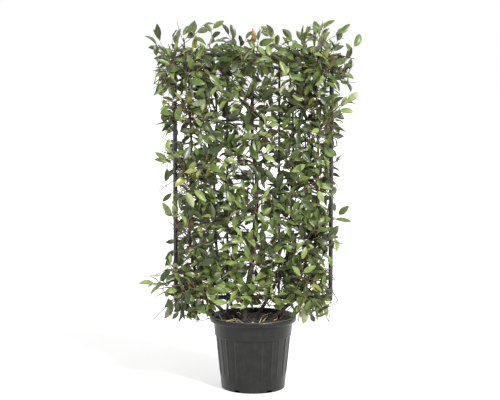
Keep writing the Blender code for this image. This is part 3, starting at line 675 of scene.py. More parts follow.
@dataclass
class Compost:
    """The compost in the pot, with crumbs, bark chips and dry fallen twigs on it."""

    pot: Pot
    drop: float = 0.020
    wall_gap: float = 0.0006
    ring_count: int = 26
    column_count: int = 96
    relief: float = 0.006
    swells_per_metre: float = 30.0
    # Noises of the surface: scale and share
    octaves: tuple[tuple[float, float], ...] = ((1.0, 0.5), (3.1, 0.3), (8.0, 0.2))
    # The low mound round the stems: its place across, its share of the relief and its spread
    mound_x: float = -0.03
    mound_share: float = 0.4
    mound_spread: float = 0.004
    crumb_count: int = 620
    crumb_mm: tuple[float, float] = (1.2, 4.2)
    crumb_flatness: float = 0.75
    chip_count: int = 70
    chip_mm: tuple[float, float] = (3.0, 8.0)
    chip_flatness: float = 0.3
    lump_width_share: tuple[float, float] = (0.5, 0.9)
    lump_rise: float = 0.4
    wall_clearance: float = 0.010
    seed: int = 311
    # Dry twigs: the points (x, y, height above the surface) that each passes through
    fallen: tuple[tuple[tuple[float, float, float], ...], ...] = (
        ((-0.141, 0.070, 0.004), (-0.116, -0.070, 0.004), (-0.068, -0.045, 0.012), (-0.041, -0.140, 0.002)),
        ((-0.091, 0.000, 0.004), (-0.078, -0.040, 0.009), (-0.058, -0.125, 0.002)),
        ((-0.078, 0.120, 0.004), (-0.060, 0.080, 0.012), (-0.047, 0.030, 0.004)),
        ((-0.100, -0.060, 0.003), (-0.070, -0.080, 0.008), (-0.024, -0.138, 0.002)),
        ((0.022, -0.114, 0.002), (0.042, 0.020, 0.009), (0.076, 0.120, 0.004)),
        ((0.042, -0.069, 0.003), (0.052, -0.010, 0.008), (0.063, 0.046, 0.003)),
        ((-0.012, -0.142, 0.002), (-0.002, -0.120, 0.012), (0.012, -0.136, 0.003)),
        ((-0.120, -0.030, 0.002), (-0.106, -0.052, 0.004), (-0.084, -0.058, 0.003)),
        ((0.084, -0.040, 0.002), (0.098, 0.000, 0.004), (0.100, 0.060, 0.003)),
        ((0.112, 0.020, -0.004), (0.151, 0.000, 0.049), (0.190, -0.012, 0.085)),
    )
    fallen_radius: tuple[float, float] = (0.0021, 0.0010)
    fallen_points: int = 11
    fallen_sides: int = 6
    fallen_shift: float = 0.002

    @property
    def top(self) -> float:
        """Mean height of the surface."""
        return self.pot.height - self.drop

    def surface(self, x: float, y: float) -> float:
        """Height of the surface.

        Args:
            x: Place across.
            y: Place in depth.

        Returns:
            The height, which falls a little towards the wall.
        """
        spot = Vector((x * self.swells_per_metre, y * self.swells_per_metre, 0.0))
        rough = sum(noise.noise(spot * scale) * share for scale, share in self.octaves)
        mound = self.mound_share * math.exp(-((x - self.mound_x) ** 2 + y ** 2) / self.mound_spread)
        return self.top + self.relief * (rough + mound)

    def build(self) -> None:
        """Make the compost, its crumbs, chips and fallen twigs."""
        self.build_body()
        dice = random.Random(self.seed)
        crumbs = MeshSketch()
        for _ in range(self.crumb_count):
            self.strew(crumbs, dice, dice.uniform(*self.crumb_mm) * MM, self.crumb_flatness)
        crumbs.build("compost_crumbs", [POTTING_COMPOST.build()], "compost")
        chips = MeshSketch()
        for _ in range(self.chip_count):
            self.strew(chips, dice, dice.uniform(*self.chip_mm) * MM, self.chip_flatness)
        chips.build("bark_chips", [BARK_CHIP.build()], "compost")
        self.lay_twigs(dice)

    def build_body(self) -> None:
        """The body of the compost: its relief on top, the pot's inner wall round it."""
        count = self.column_count
        angles = [2 * math.pi * column / count for column in range(count)]
        rim = self.pot.inner_radius(self.top) - self.wall_gap
        vertices = [(0.0, 0.0, self.surface(0.0, 0.0))]
        for ring in range(1, self.ring_count + 1):
            reach = rim * ring / self.ring_count
            for angle in angles:
                x, y = reach * math.cos(angle), reach * math.sin(angle)
                vertices.append((x, y, self.surface(x, y)))
        for height in (self.pot.body_top_height, self.pot.floor + self.wall_gap):
            reach = self.pot.inner_radius(height) - self.wall_gap
            vertices += [(reach * math.cos(angle), reach * math.sin(angle), height) for angle in angles]
        # The rings run inward to outward and then down, so their quads are turned round
        faces = [(a, d, c, b) for a, b, c, d in skin(1, self.ring_count + 2, count)]
        faces += [(0, 1 + column, 1 + (column + 1) % count) for column in range(count)]
        last = 1 + (self.ring_count + 1) * count
        faces.append(tuple(reversed(range(last, last + count))))
        sketch = MeshSketch()
        sketch.add(np.array(vertices), faces)
        bed = sketch.build("compost_bed", [POTTING_COMPOST.build()], "compost", smooth_angle=80.0)
        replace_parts(bed, "soil")

    def strew(self, sketch: MeshSketch, dice: random.Random, size: float, flat: float) -> None:
        """Add one lump that lies on the surface.

        Args:
            sketch: The piece that takes it.
            dice: The source of its place.
            size: Its half length.
            flat: Its height as a share of its length.
        """
        reach = (self.pot.inner_radius(self.top) - self.wall_clearance) * math.sqrt(dice.random())
        angle = dice.uniform(0, 2 * math.pi)
        x, y = reach * math.cos(angle), reach * math.sin(angle)
        centre = Vector((x, y, self.surface(x, y) + size * flat * self.lump_rise))
        width = size * dice.uniform(*self.lump_width_share)
        sketch.add(*lump(centre, (size, width, size * flat), dice, dice.uniform(0, math.pi)))

    def lay_twigs(self, dice: random.Random) -> None:
        """The dry twigs: slightly bent, most of them lying on the surface.

        Args:
            dice: The source of their small shifts.
        """
        sketch = MeshSketch()
        thick, thin = self.fallen_radius
        for marks in self.fallen:
            places = []
            for x, y, lift in marks:
                shift = dice.gauss(0, self.fallen_shift)
                places.append(Vector((x + shift, y, self.surface(x, y) + thick + lift)))
            radii = taper(thick, thin, self.fallen_points)
            sketch.add(*tube(spline(places, self.fallen_points), radii, self.fallen_sides))
        sketch.build("fallen_twigs", [DRY_TWIG.build()], "compost", smooth_angle=60.0)


@dataclass
class Trellis:
    """The steel trellis: a bent outer tube, two legs in the compost and thin wires, welded together."""

    width: float = 0.642
    foot: float = 0.378
    height: float = 1.000
    tube_radius: float = 0.009
    corner_radius: float = 0.035
    post_overrun: float = 0.014
    corner_steps: int = 10
    sides: int = 20
    wire_sides: int = 12
    thickest_wire: float = 0.004
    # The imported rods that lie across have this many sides, so that their boxes end at the flats
    packed_sides: int = 10
    straight_spans: int = 6
    post_spans: int = 8
    # A rod's ends are rounded over this share of its radius, down to this share of it
    end_run: float = 0.25
    end_share: float = 0.8
    uprights: tuple[str, ...] = ("leg_left", "leg_right", "upright_wire_left", "upright_wire_middle",
                                 "upright_wire_right")
    crossings: tuple[str, ...] = ("cross_wire_1", "cross_wire_2", "cross_wire_3", "cross_wire_4")
    # Half length, half width and half height of the weld beads
    crossing_bead: tuple[float, float, float] = (0.0042, 0.0030, 0.0042)
    post_bead: tuple[float, float, float] = (0.0040, 0.0040, 0.0045)
    rail_bead: tuple[float, float, float] = (0.0048, 0.0036, 0.0040)
    rail_bead_depth: float = 0.002
    rail_bead_seat: float = 0.8
    seed: int = 97

    def build(self) -> None:
        """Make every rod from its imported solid's place, then the weld beads."""
        paint = POWDER_COATED_STEEL.build()
        for side, name in ((-1, "post_left"), (1, "post_right")):
            self.rod(name, self.post_path(side), self.tube_radius, self.sides, paint)
        for name in ("top_rail", "bottom_rail", *self.uprights, *self.crossings):
            axis = 2 if name in self.uprights else 0
            low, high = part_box(name)
            start, end = (low + high) / 2, (low + high) / 2
            start[axis], end[axis] = low[axis], high[axis]
            radius = (high[1] - low[1]) / 2
            if axis == 0:
                radius /= math.cos(math.pi / self.packed_sides)
            path = [start.lerp(end, span / self.straight_spans) for span in range(self.straight_spans + 1)]
            sides = self.sides if radius > self.thickest_wire else self.wire_sides
            self.rod(name, path, radius, sides, paint)
        self.weld(paint)

    def post_path(self, side: int) -> list[Vector]:
        """The line of an outer post with its bent upper corner.

        Args:
            side: -1 for the left post and 1 for the right one.

        Returns:
            The points of the line, from its foot.
        """
        x = side * self.width / 2
        top = self.foot + self.height
        low = self.foot - self.post_overrun
        straight = top - self.corner_radius
        path = [Vector((x, 0, low + (straight - low) * span / self.post_spans))
                for span in range(self.post_spans + 1)]
        for step in range(1, self.corner_steps + 1):
            angle = math.pi / 2 * step / self.corner_steps
            path.append(Vector((x - side * self.corner_radius * (1 - math.cos(angle)), 0,
                                straight + self.corner_radius * math.sin(angle))))
        return path

    def rod(self, name: str, path: list[Vector], radius: float, sides: int,
            paint: bpy.types.Material) -> None:
        """One rod with slightly rounded ends.

        Args:
            name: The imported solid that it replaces.
            path: Its centre line.
            radius: Its radius.
            sides: How many sides it has.
            paint: Its material.
        """
        run_in = (path[1] - path[0]).normalized() * radius * self.end_run
        run_out = (path[-2] - path[-1]).normalized() * radius * self.end_run
        path = [path[0], path[0] + run_in, *path[1:-1], path[-1] + run_out, path[-1]]
        radii = [radius * self.end_share, *[radius] * (len(path) - 2), radius * self.end_share]
        sketch = MeshSketch()
        sketch.add(*tube(path, radii, sides))
        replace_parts(sketch.build(f"steel_{name}", [paint], "trellis_steel", smooth_angle=50.0), name)

    def weld(self, paint: bpy.types.Material) -> None:
        """A small bead of weld wherever two rods meet.

        Args:
            paint: Its material.
        """
        dice = random.Random(self.seed)
        sketch = MeshSketch()
        uprights = [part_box(name) for name in self.uprights]
        half = self.width / 2
        for low, high in [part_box(name) for name in self.crossings]:
            z = (low.z + high.z) / 2
            for upright_low, upright_high in uprights:
                depth = (max(low.y, upright_low.y) + min(high.y, upright_high.y)) / 2
                centre = Vector(((upright_low.x + upright_high.x) / 2, depth, z))
                sketch.add(*lump(centre, self.crossing_bead, dice, 0.0))
            for side in (-1, 1):
                centre = Vector((side * (half - self.tube_radius), (low.y + high.y) / 2, z))
                sketch.add(*lump(centre, self.post_bead, dice, 0.0))
        for upright_low, upright_high in uprights:
            x = (upright_low.x + upright_high.x) / 2
            for z in (self.foot, self.foot + self.height):
                inward = self.tube_radius * (1 if z == self.foot else -1)
                centre = Vector((x, upright_low.y + self.rail_bead_depth, z + inward * self.rail_bead_seat))
                sketch.add(*lump(centre, self.rail_bead, dice, 0.0))
        sketch.build("weld_beads", [paint], "trellis_steel", smooth_angle=60.0)


# Each stem: radius at its foot and tip, and the points that its line passes through
STEMS: dict[str, tuple[float, float, tuple[tuple[float, float, float], ...]]] = {
    "main_stem": (0.0125, 0.0050, (
        (-0.040, -0.012, 0.283), (-0.030, -0.030, 0.385), (0.004, -0.029, 0.600),
        (0.014, -0.028, 0.860), (-0.006, -0.026, 1.100), (0.002, -0.028, 1.330))),
    "stem_left_outer": (0.0085, 0.0038, (
        (-0.080, -0.018, 0.283), (-0.158, -0.030, 0.360), (-0.232, -0.028, 0.470),
        (-0.262, -0.026, 0.640), (-0.252, -0.026, 0.950), (-0.262, -0.026, 1.258))),
    "stem_right_outer": (0.0085, 0.0038, (
        (0.070, -0.012, 0.283), (0.150, -0.030, 0.358), (0.228, -0.028, 0.470),
        (0.258, -0.026, 0.640), (0.266, -0.026, 0.950), (0.256, -0.026, 1.258))),
    "stem_left_inner": (0.0078, 0.0038, (
        (-0.066, 0.030, 0.283), (-0.108, 0.042, 0.385), (-0.150, 0.038, 0.560),
        (-0.162, 0.038, 0.800), (-0.150, 0.036, 1.060), (-0.158, 0.036, 1.318))),
    "stem_right_inner": (0.0078, 0.0038, (
        (0.010, 0.026, 0.283), (0.070, 0.042, 0.385), (0.146, 0.038, 0.560),
        (0.158, 0.038, 0.800), (0.166, 0.036, 1.060), (0.150, 0.036, 1.318))),
}


@dataclass
class Stems:
    """The stems, each one tapering limb with the relief of its bark."""

    rings: int = 110
    sides: int = 14
    flare: float = 1.35
    flare_height: float = 0.020
    relief: float = 0.13

    def line(self, name: str, rings: int) -> tuple[list[Vector], list[float]]:
        """The path and radii of a stem.

        Args:
            name: The stem.
            rings: How many samples to take.

        Returns:
            The path and one radius for each of its points.
        """
        foot_radius, tip_radius, marks = STEMS[name]
        path = spline([Vector(mark) for mark in marks], rings)
        radii = []
        for point, radius in zip(path, taper(foot_radius, tip_radius, rings)):
            spread = max(0.0, 1 - (point.z - path[0].z) / self.flare_height)
            radii.append(radius * (1 + (self.flare - 1) * spread ** 2))
        return path, radii

    def point(self, name: str, height: float) -> tuple[Vector, float, Vector]:
        """Centre, radius and direction of a stem at a height.

        Args:
            name: The stem.
            height: The height; past the stem's end it gives the tip.

        Returns:
            The centre, the radius and the direction there.
        """
        path, radii = self.line(name, self.rings)
        for index in range(1, len(path) - 1):
            if path[index].z >= height:
                return path[index], radii[index], (path[index + 1] - path[index - 1]).normalized()
        return path[-1], radii[-1], (path[-1] - path[-2]).normalized()

    def build(self) -> None:
        """Make every stem."""
        bark = PHOTINIA_BARK.build()
        for name in STEMS:
            path, radii = self.line(name, self.rings)
            sketch = MeshSketch()
            sketch.add(*tube(path, radii, self.sides, self.relief, UP))
            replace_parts(sketch.build(f"bark_{name}", [bark], "bark", smooth_angle=70.0), name)


@dataclass(frozen=True)
class LeafForm:
    """The form of one leaf."""

    length: float
    width: float
    curl: float
    fold: float
    wave: float
    twist: float


class LeafCutter:
    """Cuts leaves: a thin closed blade with a folded midrib, on a short stalk."""

    # Places along the blade, and the half width at each as a share of the widest
    STATIONS = (0.07, 0.20, 0.38, 0.56, 0.74, 0.89)
    HALF_WIDTHS = (0.34, 0.74, 0.98, 0.98, 0.72, 0.36)
    COLUMNS = (-1.0, -0.52, 0.0, 0.52, 1.0)
    THICKNESS = 0.0007
    # Radians of the edge's waves along the blade, and the curl under which a blade counts as flat
    RIPPLE = 9.0
    LEAST_CURL = 0.001
    STALK_SHARE = 0.13
    # Radius of the stalk at its foot, middle and end, its sag, how far it runs into the blade
    STALK_RADII = (0.00108, 0.0009, 0.00072)
    STALK_SAG = 0.0006
    STALK_OVERLAP = 0.002
    STALK_SIDES = 4

    def __init__(self) -> None:
        """Work out the faces, which are the same for every leaf."""
        wide = len(self.COLUMNS)
        rows = len(self.STATIONS)
        upper = [[1 + row * wide + column for column in range(wide)] for row in range(rows)]
        tip = 1 + rows * wide
        lower_start = tip + 1
        lower = []
        for row in range(rows):
            inner = [lower_start + row * (wide - 2) + column for column in range(wide - 2)]
            lower.append([upper[row][0], *inner, upper[row][-1]])
        self.upper_faces: list[tuple[int, ...]] = []
        self.lower_faces: list[tuple[int, ...]] = []
        for column in range(wide - 1):
            self.upper_faces.append((0, upper[0][column + 1], upper[0][column]))
            self.lower_faces.append((0, lower[0][column], lower[0][column + 1]))
            self.upper_faces.append((tip, upper[-1][column], upper[-1][column + 1]))
            self.lower_faces.append((tip, lower[-1][column + 1], lower[-1][column]))
            for row in range(rows - 1):
                self.upper_faces.append((upper[row][column], upper[row][column + 1],
                                         upper[row + 1][column + 1], upper[row + 1][column]))
                self.lower_faces.append((lower[row][column + 1], lower[row][column],
                                         lower[row + 1][column], lower[row + 1][column + 1]))

    def points(self, form: LeafForm) -> np.ndarray:
        """The points of a leaf in its own frame: x across, y along, z off its upper side.

        Args:
            form: The leaf's form.

        Returns:
            One row for each point.
        """
        points = [self.spot(form, 0.0, 0.0, 0.0, 0.0)]
        for u, share in zip(self.STATIONS, self.HALF_WIDTHS):
            points += [self.spot(form, u, v, share * form.width / 2, 0.0) for v in self.COLUMNS]
        points.append(self.spot(form, 1.0, 0.0, 0.0, 0.0))
        for u, share in zip(self.STATIONS, self.HALF_WIDTHS):
            points += [self.spot(form, u, v, share * form.width / 2, self.THICKNESS)
                       for v in self.COLUMNS[1:-1]]
        return np.array(points)

    def spine(self, form: LeafForm, u: float) -> tuple[float, float, float]:
        """The curled midrib of a leaf.

        Args:
            form: The leaf's form.
            u: The share of the blade's length.

        Returns:
            How far along the leaf and off its plane the midrib is there, and its slope.
        """
        blade = form.length - form.length * self.STALK_SHARE
        angle = form.curl * u
        if abs(form.curl) < self.LEAST_CURL:
            return blade * u, 0.0, angle
        return blade * math.sin(angle) / form.curl, -blade * (1 - math.cos(angle)) / form.curl, angle

    def spot(self, form: LeafForm, u: float, v: float, half: float,
             sink: float) -> tuple[float, float, float]:
        """A point of a leaf's blade.

        Args:
            form: The leaf's form.
            u: The share of the blade's length.
            v: The share of the half width, from -1 to 1.
            half: The half width there.
            sink: How far under the upper side the point lies.

        Returns:
            The point: across, along and off the leaf's plane.
        """
        along, off, angle = self.spine(form, u)
        ripple = form.wave * math.sin(u * self.RIPPLE + v)
        rise = abs(v) * half * math.sin(form.fold) + ripple * half * abs(v) - sink
        x = v * half * math.cos(form.fold)
        turn = form.twist * u
        x, rise = x * math.cos(turn) - rise * math.sin(turn), x * math.sin(turn) + rise * math.cos(turn)
        stalk = form.length * self.STALK_SHARE
        return x, stalk + along + rise * math.sin(angle), off + rise * math.cos(angle)

    def add(self, sketch: MeshSketch, root: Vector, along: Vector, face: Vector, form: LeafForm) -> None:
        """Add a leaf to a piece.

        Args:
            sketch: The piece; its finish 0 is the upper side and 1 the lower side.
            root: Where the leaf's stalk leaves its shoot.
            along: The direction that it grows in.
            face: The direction that its upper side looks in.
            form: Its form.
        """
        side = along.cross(face).normalized()
        axes = np.array([tuple(side), tuple(along), tuple(face)])
        points = self.points(form) @ axes + np.array(tuple(root))
        sketch.add(points, self.upper_faces, 0)
        base = sketch.count - len(points)
        sketch.faces += [tuple(base + corner for corner in corners) for corners in self.lower_faces]
        sketch.finishes += [1] * len(self.lower_faces)
        stalk_end = Vector(points[0]) + along * self.STALK_OVERLAP
        stalk = [root, root.lerp(stalk_end, 0.5) - face * self.STALK_SAG, stalk_end]
        sketch.add(*tube(stalk, list(self.STALK_RADII), self.STALK_SIDES), 1)


# Space of the crown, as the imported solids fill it: two layers, before and behind the trellis
CROWN_FRONT = -0.150
CROWN_BACK = 0.155
FRONT_LAYER_INNER = -0.0105
BACK_LAYER_INNER = 0.0205
FRONT_COLUMN_EDGE = 0.128
ROW_EDGES: dict[tuple[str, str], tuple[float, ...]] = {
    ("front", "left"): (0.268, 0.560, 0.790, 1.020, 1.240, 1.523),
    ("front", "middle"): (0.320, 0.480, 0.690, 0.905, 1.120, 1.310, 1.500),
    ("front", "right"): (0.268, 0.545, 0.775, 1.000, 1.250, 1.523),
    ("back", "left"): (0.318, 0.610, 0.840, 1.070, 1.300, 1.500),
    ("back", "right"): (0.318, 0.625, 0.855, 1.080, 1.300, 1.500),
}
LEFT_REACH = (0.473, 0.376, 0.402, 0.405, 0.432)
RIGHT_REACH = (0.374, 0.386, 0.382, 0.428, 0.438)
BACK_REACH = 0.370

# Furthest tips of the crown by layer, row and column: (x, z) of a leaf's tip
LONG_SHOOTS: dict[tuple[str, int, str], tuple[tuple[float, float], ...]] = {
    ("front", 0, "left"): ((-0.472, 0.449), (-0.336, 0.269), (-0.215, 0.274)),
    ("front", 0, "right"): ((0.372, 0.420), (0.213, 0.274), (0.268, 0.300)),
    ("front", 1, "left"): ((-0.375, 0.780),),
    ("front", 1, "right"): ((0.385, 0.770),),
    ("front", 2, "left"): ((-0.400, 0.990),),
    ("front", 2, "right"): ((0.380, 0.985),),
    ("front", 3, "left"): ((-0.400, 1.110),),
    ("front", 3, "right"): ((0.427, 1.232),),
    ("front", 4, "left"): ((-0.236, 1.522), (-0.388, 1.504), (-0.430, 1.470)),
    ("front", 4, "right"): ((0.245, 1.521), (0.398, 1.503), (0.437, 1.468)),
    ("back", 4, "left"): ((-0.310, 1.485),),
    ("back", 4, "right"): ((0.120, 1.492), (0.310, 1.480)),
}

# Young shoots whose colour shows: (x, z) of the end leaf's tip, and the tint
COLOURED_SHOOTS: dict[tuple[str, int, str], tuple[tuple[float, float, Tint], ...]] = {
    ("front", 5, "middle"): ((0.004, 1.490, Tint.BRONZE),),
    ("front", 4, "left"): ((-0.228, 1.462, Tint.YELLOW),),
    ("front", 4, "right"): ((0.238, 1.462, Tint.YELLOW),),
}

# Which stem carries each column of masses
CARRIERS: dict[tuple[str, str], str] = {
    ("front", "left"): "stem_left_outer",
    ("front", "middle"): "main_stem",
    ("front", "right"): "stem_right_outer",
    ("back", "left"): "stem_left_inner",
    ("back", "right"): "stem_right_inner",
}


# Mean and spread of a random direction: across, outward from the trellis, and up
Habit = tuple[tuple[float, float], tuple[float, float], tuple[float, float]]


@dataclass
class Growth:
    """The sizes that the growing of a mass goes by; a pair is a range, or a mean and its spread."""

    # Leaves: their size, and how they sit on a shoot, whose foot is bare
    leaf_length: tuple[float, float] = (0.060, 0.092)
    leaf_width_share: tuple[float, float] = (0.34, 0.45)
    leaf_pitch: tuple[float, float] = (0.010, 0.016)
    bare_share: float = 0.30
    leaf_angle_low: float = math.radians(62.0)
    leaf_angle_tip: float = math.radians(26.0)
    leaf_angle_bend: float = 1.5
    leaf_angle_spread: float = 0.14
    leaf_turn_spread: float = 0.15
    leaf_shrink: float = 0.25
    # Where a leaf's upper side looks, and its form, with angles in radians
    leaf_face: Habit = ((0.0, 0.6), (0.55, 0.65), (0.65, 0.55))
    least_face: float = 0.2
    curl: tuple[float, float] = (0.45, 0.25)
    fold_range: tuple[float, float] = (0.12, 0.5)
    wave_spread: float = 0.06
    twist_spread: float = 0.2
    # The plain outline that stands for a leaf when its room is tested, as shares of its sizes
    leaf_reach: float = 0.96
    curl_drop: float = 0.9
    middle_drop: float = 0.2
    outline_start: float = 0.12

    # Young shoots; the gap between two of them counts less in depth
    shoot_length: tuple[float, float] = (0.055, 0.125)
    shoot_radius: tuple[float, float] = (0.0016, 0.0008)
    shoot_points: int = 6
    shoot_sides: int = 5
    shoot_aim: Habit = ((0.0, 0.9), (0.30, 0.6), (0.55, 0.8))
    shoot_sag: tuple[float, float] = (0.02, 0.08)
    shoot_jitter: float = 0.003
    depth_weight: float = 0.6
    long_shoot_tries: int = 160
    long_shoot_depth: tuple[float, float] = (0.2, 0.8)
    long_shoot_least: float = 1.3

    # Lead twigs: one for each mass, from its stem to the top of its space
    lead_radius: tuple[float, float] = (0.0040, 0.0022)
    lead_points: int = 12
    lead_sides: int = 7
    lead_root_share: float = 0.5
    top_lead_sink: float = 0.002
    lead_knee: float = 0.016
    lead_bow: float = 0.012
    lead_tip_drop: float = 0.045
    top_lead_tip_drop: float = 0.075
    lead_start_rise: float = 0.045
    first_lead_height: float = 0.425

    # Side twigs: their number goes by the mass's area, and they aim at shares of its space
    side_radius: tuple[float, float] = (0.0024, 0.0016)
    side_points: int = 7
    side_sides: int = 6
    side_twig_pitch: float = 0.115
    side_twig_share: float = 1.6
    fewest_side_twigs: int = 4
    side_aim: tuple[float, float] = (0.08, 0.92)
    shortest_side_twig: float = 0.05
    side_rise: float = 0.10
    side_jitter: float = 0.006

    # Outline of the crown: how far each row's leaves reach to the left and right, how full its
    # depth is, and how low its leaves hang beside the pot and over it
    left_edge: tuple[float, ...] = (0.372, 0.345, 0.368, 0.388, 0.410)
    right_edge: tuple[float, ...] = (0.332, 0.348, 0.368, 0.378, 0.418)
    depth_mean: float = 0.84
    depth_spread: float = 0.34
    depth_swells: tuple[float, float, float] = (7.0, 3.0, 6.0)
    lowest: float = 0.285
    lowest_over_pot: float = 0.338
    pot_reach: float = 0.150
    # Openness: a share of the leaves before the outer posts is left out, and few shoots rise
    # above the height from which the crown is thin
    post_x: float = 0.321
    post_margin: float = 0.020
    post_shows: float = 0.62
    thin_from: float = 1.40
    high_shoots: dict[str, int] = field(default_factory=lambda: {"front": 4, "back": 3})
    # How often a place is tried, and how far leaves and shoots may pass their mass's space
    tries: int = 40
    slack: float = 0.026
    shoot_slack: float = 0.008
    leaves_per_square_metre: dict[str, float] = field(
        default_factory=lambda: {"front": 1640.0, "back": 1240.0})
    tints: tuple[tuple[Tint, float], ...] = ((Tint.DEEP, 0.34), (Tint.MID, 0.42), (Tint.FRESH, 0.22),
                                             (Tint.YELLOW, 0.02))


class Foliage:
    """The crown: every mass's twigs, shoots and leaves, gathered by kind into a few pieces."""

    def __init__(self, stems: Stems, growth: Growth, seed: int) -> None:
        """Start with empty pieces.

        Args:
            stems: The stems that carry the masses.
            growth: The sizes of twigs and leaves.
            seed: The seed of the growing.
        """
        self.stems = stems
        self.growth = growth
        self.seed = seed
        self.cutter = LeafCutter()
        self.woody = MeshSketch()
        self.shoots = MeshSketch()
        self.leaves = {tint: MeshSketch() for tint in Tint}
        self.nodes: list[str] = []
        self.obstacles = self.obstacle_tree()
        self.leaf_count = 0

    def obstacle_tree(self) -> BVHTree:
        """The pot, the trellis and the stems, which leaves and twigs keep clear of.

        Returns:
            A tree of their meshes.
        """
        vertices: list[tuple] = []
        faces: list[tuple] = []
        for name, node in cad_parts.items():
            if not name.startswith("foliage") and name != "soil":
                base = len(vertices)
                vertices += [tuple(vertex.co) for vertex in node.data.vertices]
                faces += [tuple(base + corner for corner in face.vertices) for face in node.data.polygons]
        return BVHTree.FromPolygons(vertices, faces)

    def space(self, layer: str, row: int, column: str) -> tuple[Vector, Vector]:
        """The space of a mass.

        Args:
            layer: "front" or "back".
            row: The row, counted from the lowest.
            column: "left", "middle" or "right".

        Returns:
            Its lowest and highest corner.
        """
        foot, head = ROW_EDGES[layer, column][row:row + 2]
        if layer == "back":
            near, far = BACK_LAYER_INNER, CROWN_BACK
            left, right = (-BACK_REACH, 0.0) if column == "left" else (0.0, BACK_REACH)
        else:
            near, far = CROWN_FRONT, FRONT_LAYER_INNER
            if column == "left":
                left, right = -LEFT_REACH[row], -FRONT_COLUMN_EDGE
            elif column == "right":
                left, right = FRONT_COLUMN_EDGE, RIGHT_REACH[row]
            else:
                left, right = -FRONT_COLUMN_EDGE, FRONT_COLUMN_EDGE
        return Vector((left, near, foot)), Vector((right, far, head))

    def grow(self) -> None:
        """Grow every mass, then make the pieces."""
        for number, ((layer, column), stem) in enumerate(CARRIERS.items()):
            for row in range(len(ROW_EDGES[layer, column]) - 1):
                node = f"foliage_{layer}_{column}_{row + 1}"
                self.nodes.append(node)
                dice = random.Random(self.seed + 100 * number + row)
                MassGrower(self, layer, row, column, stem, dice).grow()
        self.build()

    def build(self) -> None:
        """Make the pieces of twigs and leaves."""
        woody = self.woody.build("woody_twigs", [WOODY_TWIG.build()], "bark", smooth_angle=70.0)
        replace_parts(woody, *self.nodes)
        young = self.shoots.build("young_shoots", [YOUNG_SHOOT.build()], "bark", smooth_angle=70.0)
        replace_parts(young, *self.nodes)
        for tint, sketch in self.leaves.items():
            if sketch.count:
                finishes = [finish.build() for finish in leaf_finishes(tint)]
                piece = sketch.build(f"leaves_{tint.value}", finishes, "foliage", smooth_angle=60.0)
                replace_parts(piece, *self.nodes)
        LOG.info("leaves: %d", self.leaf_count)


